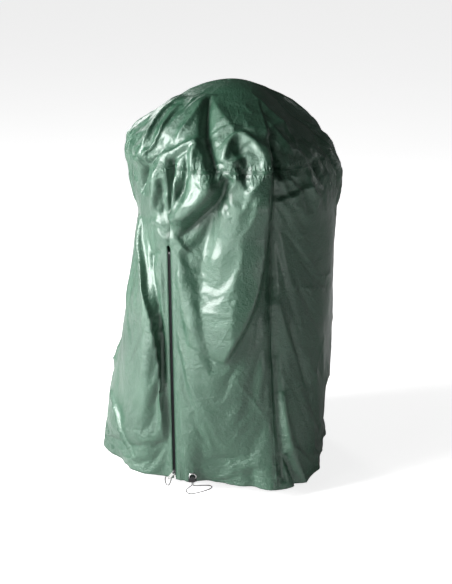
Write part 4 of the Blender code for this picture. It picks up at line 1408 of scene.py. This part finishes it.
def zip_chain(side, word):
    """One row of the zip's teeth on their cord; the other row is half a pitch off."""
    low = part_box(f"zip_chain_{word}")[0].z + 0.6 * MM
    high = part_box(f"zip_chain_{word}")[1].z - 0.6 * MM
    shape, faces = tooth_shape()
    verts = []
    polygons = []
    start = low + (TOOTH_PITCH / 2.0 if side > 0 else 0.0)
    for number, z in enumerate(np.arange(start, high, TOOTH_PITCH)):
        verts.append(zip_point(side * shape[:, :1], shape[:, 1:2] + CHAIN_DEPTH,
                               shape[:, 2:] + z))
        polygons += [tuple(number * len(shape) + k for k in face) for face in faces]
    back = np.array(((1.35, 0.5), (2.9, 0.5), (2.9, 1.9), (1.35, 1.9))) * MM
    base = len(verts) * len(shape)
    for z in (low - 0.4 * MM, high + 0.4 * MM):
        verts.append(zip_point(side * back[:, :1], back[:, 1:] + CHAIN_DEPTH, z))
    polygons += [(base + k, base + (k + 1) % 4, base + 4 + (k + 1) % 4, base + 4 + k)
                 for k in range(4)]
    polygons += [tuple(range(base, base + 4)), tuple(range(base + 4, base + 8))]
    mesh = bpy.data.meshes.new(f"zip_teeth_{word}")
    mesh.from_pydata(np.vstack(verts).tolist(), [], polygons)
    bm = bmesh.new()
    bm.from_mesh(mesh)
    bmesh.ops.recalc_face_normals(bm, faces=bm.faces)
    bm.to_mesh(mesh)
    bm.free()
    mesh.materials.append(TEETH)
    fit(add_object(f"zip_teeth_{word}", mesh), f"zip_chain_{word}")


bindings()
felled_seams()
hem_folds()
all_stitching()
zip_edges()
zip_chain(-1, "left")
zip_chain(1, "right")


# ---------------------------------------------------------------- studio

FLOOR_GLOW = 0.80
WORLD_LIGHT = 0.05


def area_light(name, place, target, size, power):
    data = bpy.data.lights.new(name, "AREA")
    data.shape = "RECTANGLE"
    data.size = size[0]
    data.size_y = size[1]
    data.energy = power
    made = add_object(name, data)
    made.location = place
    look(made, target)


def studio():
    floor_mesh = bpy.data.meshes.new("floor")
    bm = bmesh.new()
    bmesh.ops.create_grid(bm, x_segments=8, y_segments=8, size=14.0)
    bm.to_mesh(floor_mesh)
    bm.free()
    floor = add_object("floor", floor_mesh)
    floor.location.z = CAD_BOX[0][2] - MM
    paint = Shader("pale_floor", Roughness=0.9, Specular_IOR_Level=0.2,
                   Emission_Color=(1.0, 1.0, 1.0, 1.0))
    tone = paint.noise(paint.object_place(), 3.0)
    seen = paint.node("ShaderNodeLightPath", {}).outputs["Is Camera Ray"]
    paint.feed(Base_Color=paint.ramp(tone, ((0.2, (0.72, 0.72, 0.72)), (0.8, (0.75, 0.75, 0.75)))),
               Emission_Strength=paint.math("MULTIPLY", seen, FLOOR_GLOW))
    floor.data.materials.append(paint.material)
    world = bpy.data.worlds.new("studio")
    world.use_nodes = True
    back = world.node_tree.nodes["Background"]
    back.inputs["Color"].default_value = (1.0, 1.0, 1.0, 1.0)
    seen = world.node_tree.nodes.new("ShaderNodeLightPath").outputs["Is Camera Ray"]
    strength = world.node_tree.nodes.new("ShaderNodeMapRange")
    strength.inputs["To Min"].default_value = WORLD_LIGHT
    strength.inputs["To Max"].default_value = 1.0
    world.node_tree.links.new(seen, strength.inputs["Value"])
    world.node_tree.links.new(strength.outputs["Result"], back.inputs["Strength"])
    bpy.context.scene.world = world
    area_light("key", (-1.80, -2.32, 1.5), (0.0, 0.0, 0.55), (1.5, 2.0), 300.0)
    area_light("top", (-1.0, -1.6, 3.2), (0.0, 0.0, 0.5), (1.6, 1.6), 22.0)
    area_light("rim", (2.0, 2.3, 1.3), (0.0, 0.0, 0.6), (0.3, 2.0), 8.0)
    area_light("fill", (1.7, -0.9, 0.15), (0.1, 0.0, 0.10), (0.9, 0.3), 2.6)
    area_light("left_rim", (-2.4, 1.7, 1.0), (0.0, 0.0, 0.75), (1.0, 1.8), 20.0)
    bpy.context.scene.view_settings.view_transform = "Standard"


studio()

for node, material in (
        ("zip_tape_left", TAPE), ("zip_tape_right", TAPE), ("zip_facing_left", INNER_SOLID),
        ("zip_facing_right", INNER_SOLID), ("zip_stop_left", SILVER), ("zip_stop_right", SILVER),
        ("zip_top_stop", ENAMEL), ("zip_slider", ENAMEL), ("zip_pull_tab", SILVER),
        ("eyelet_rim", SILVER), ("eyelet_washer", SILVER), ("cord_lock_barrel", LOCK),
        ("cord_lock_plunger", LOCK)):
    dress(node, material)
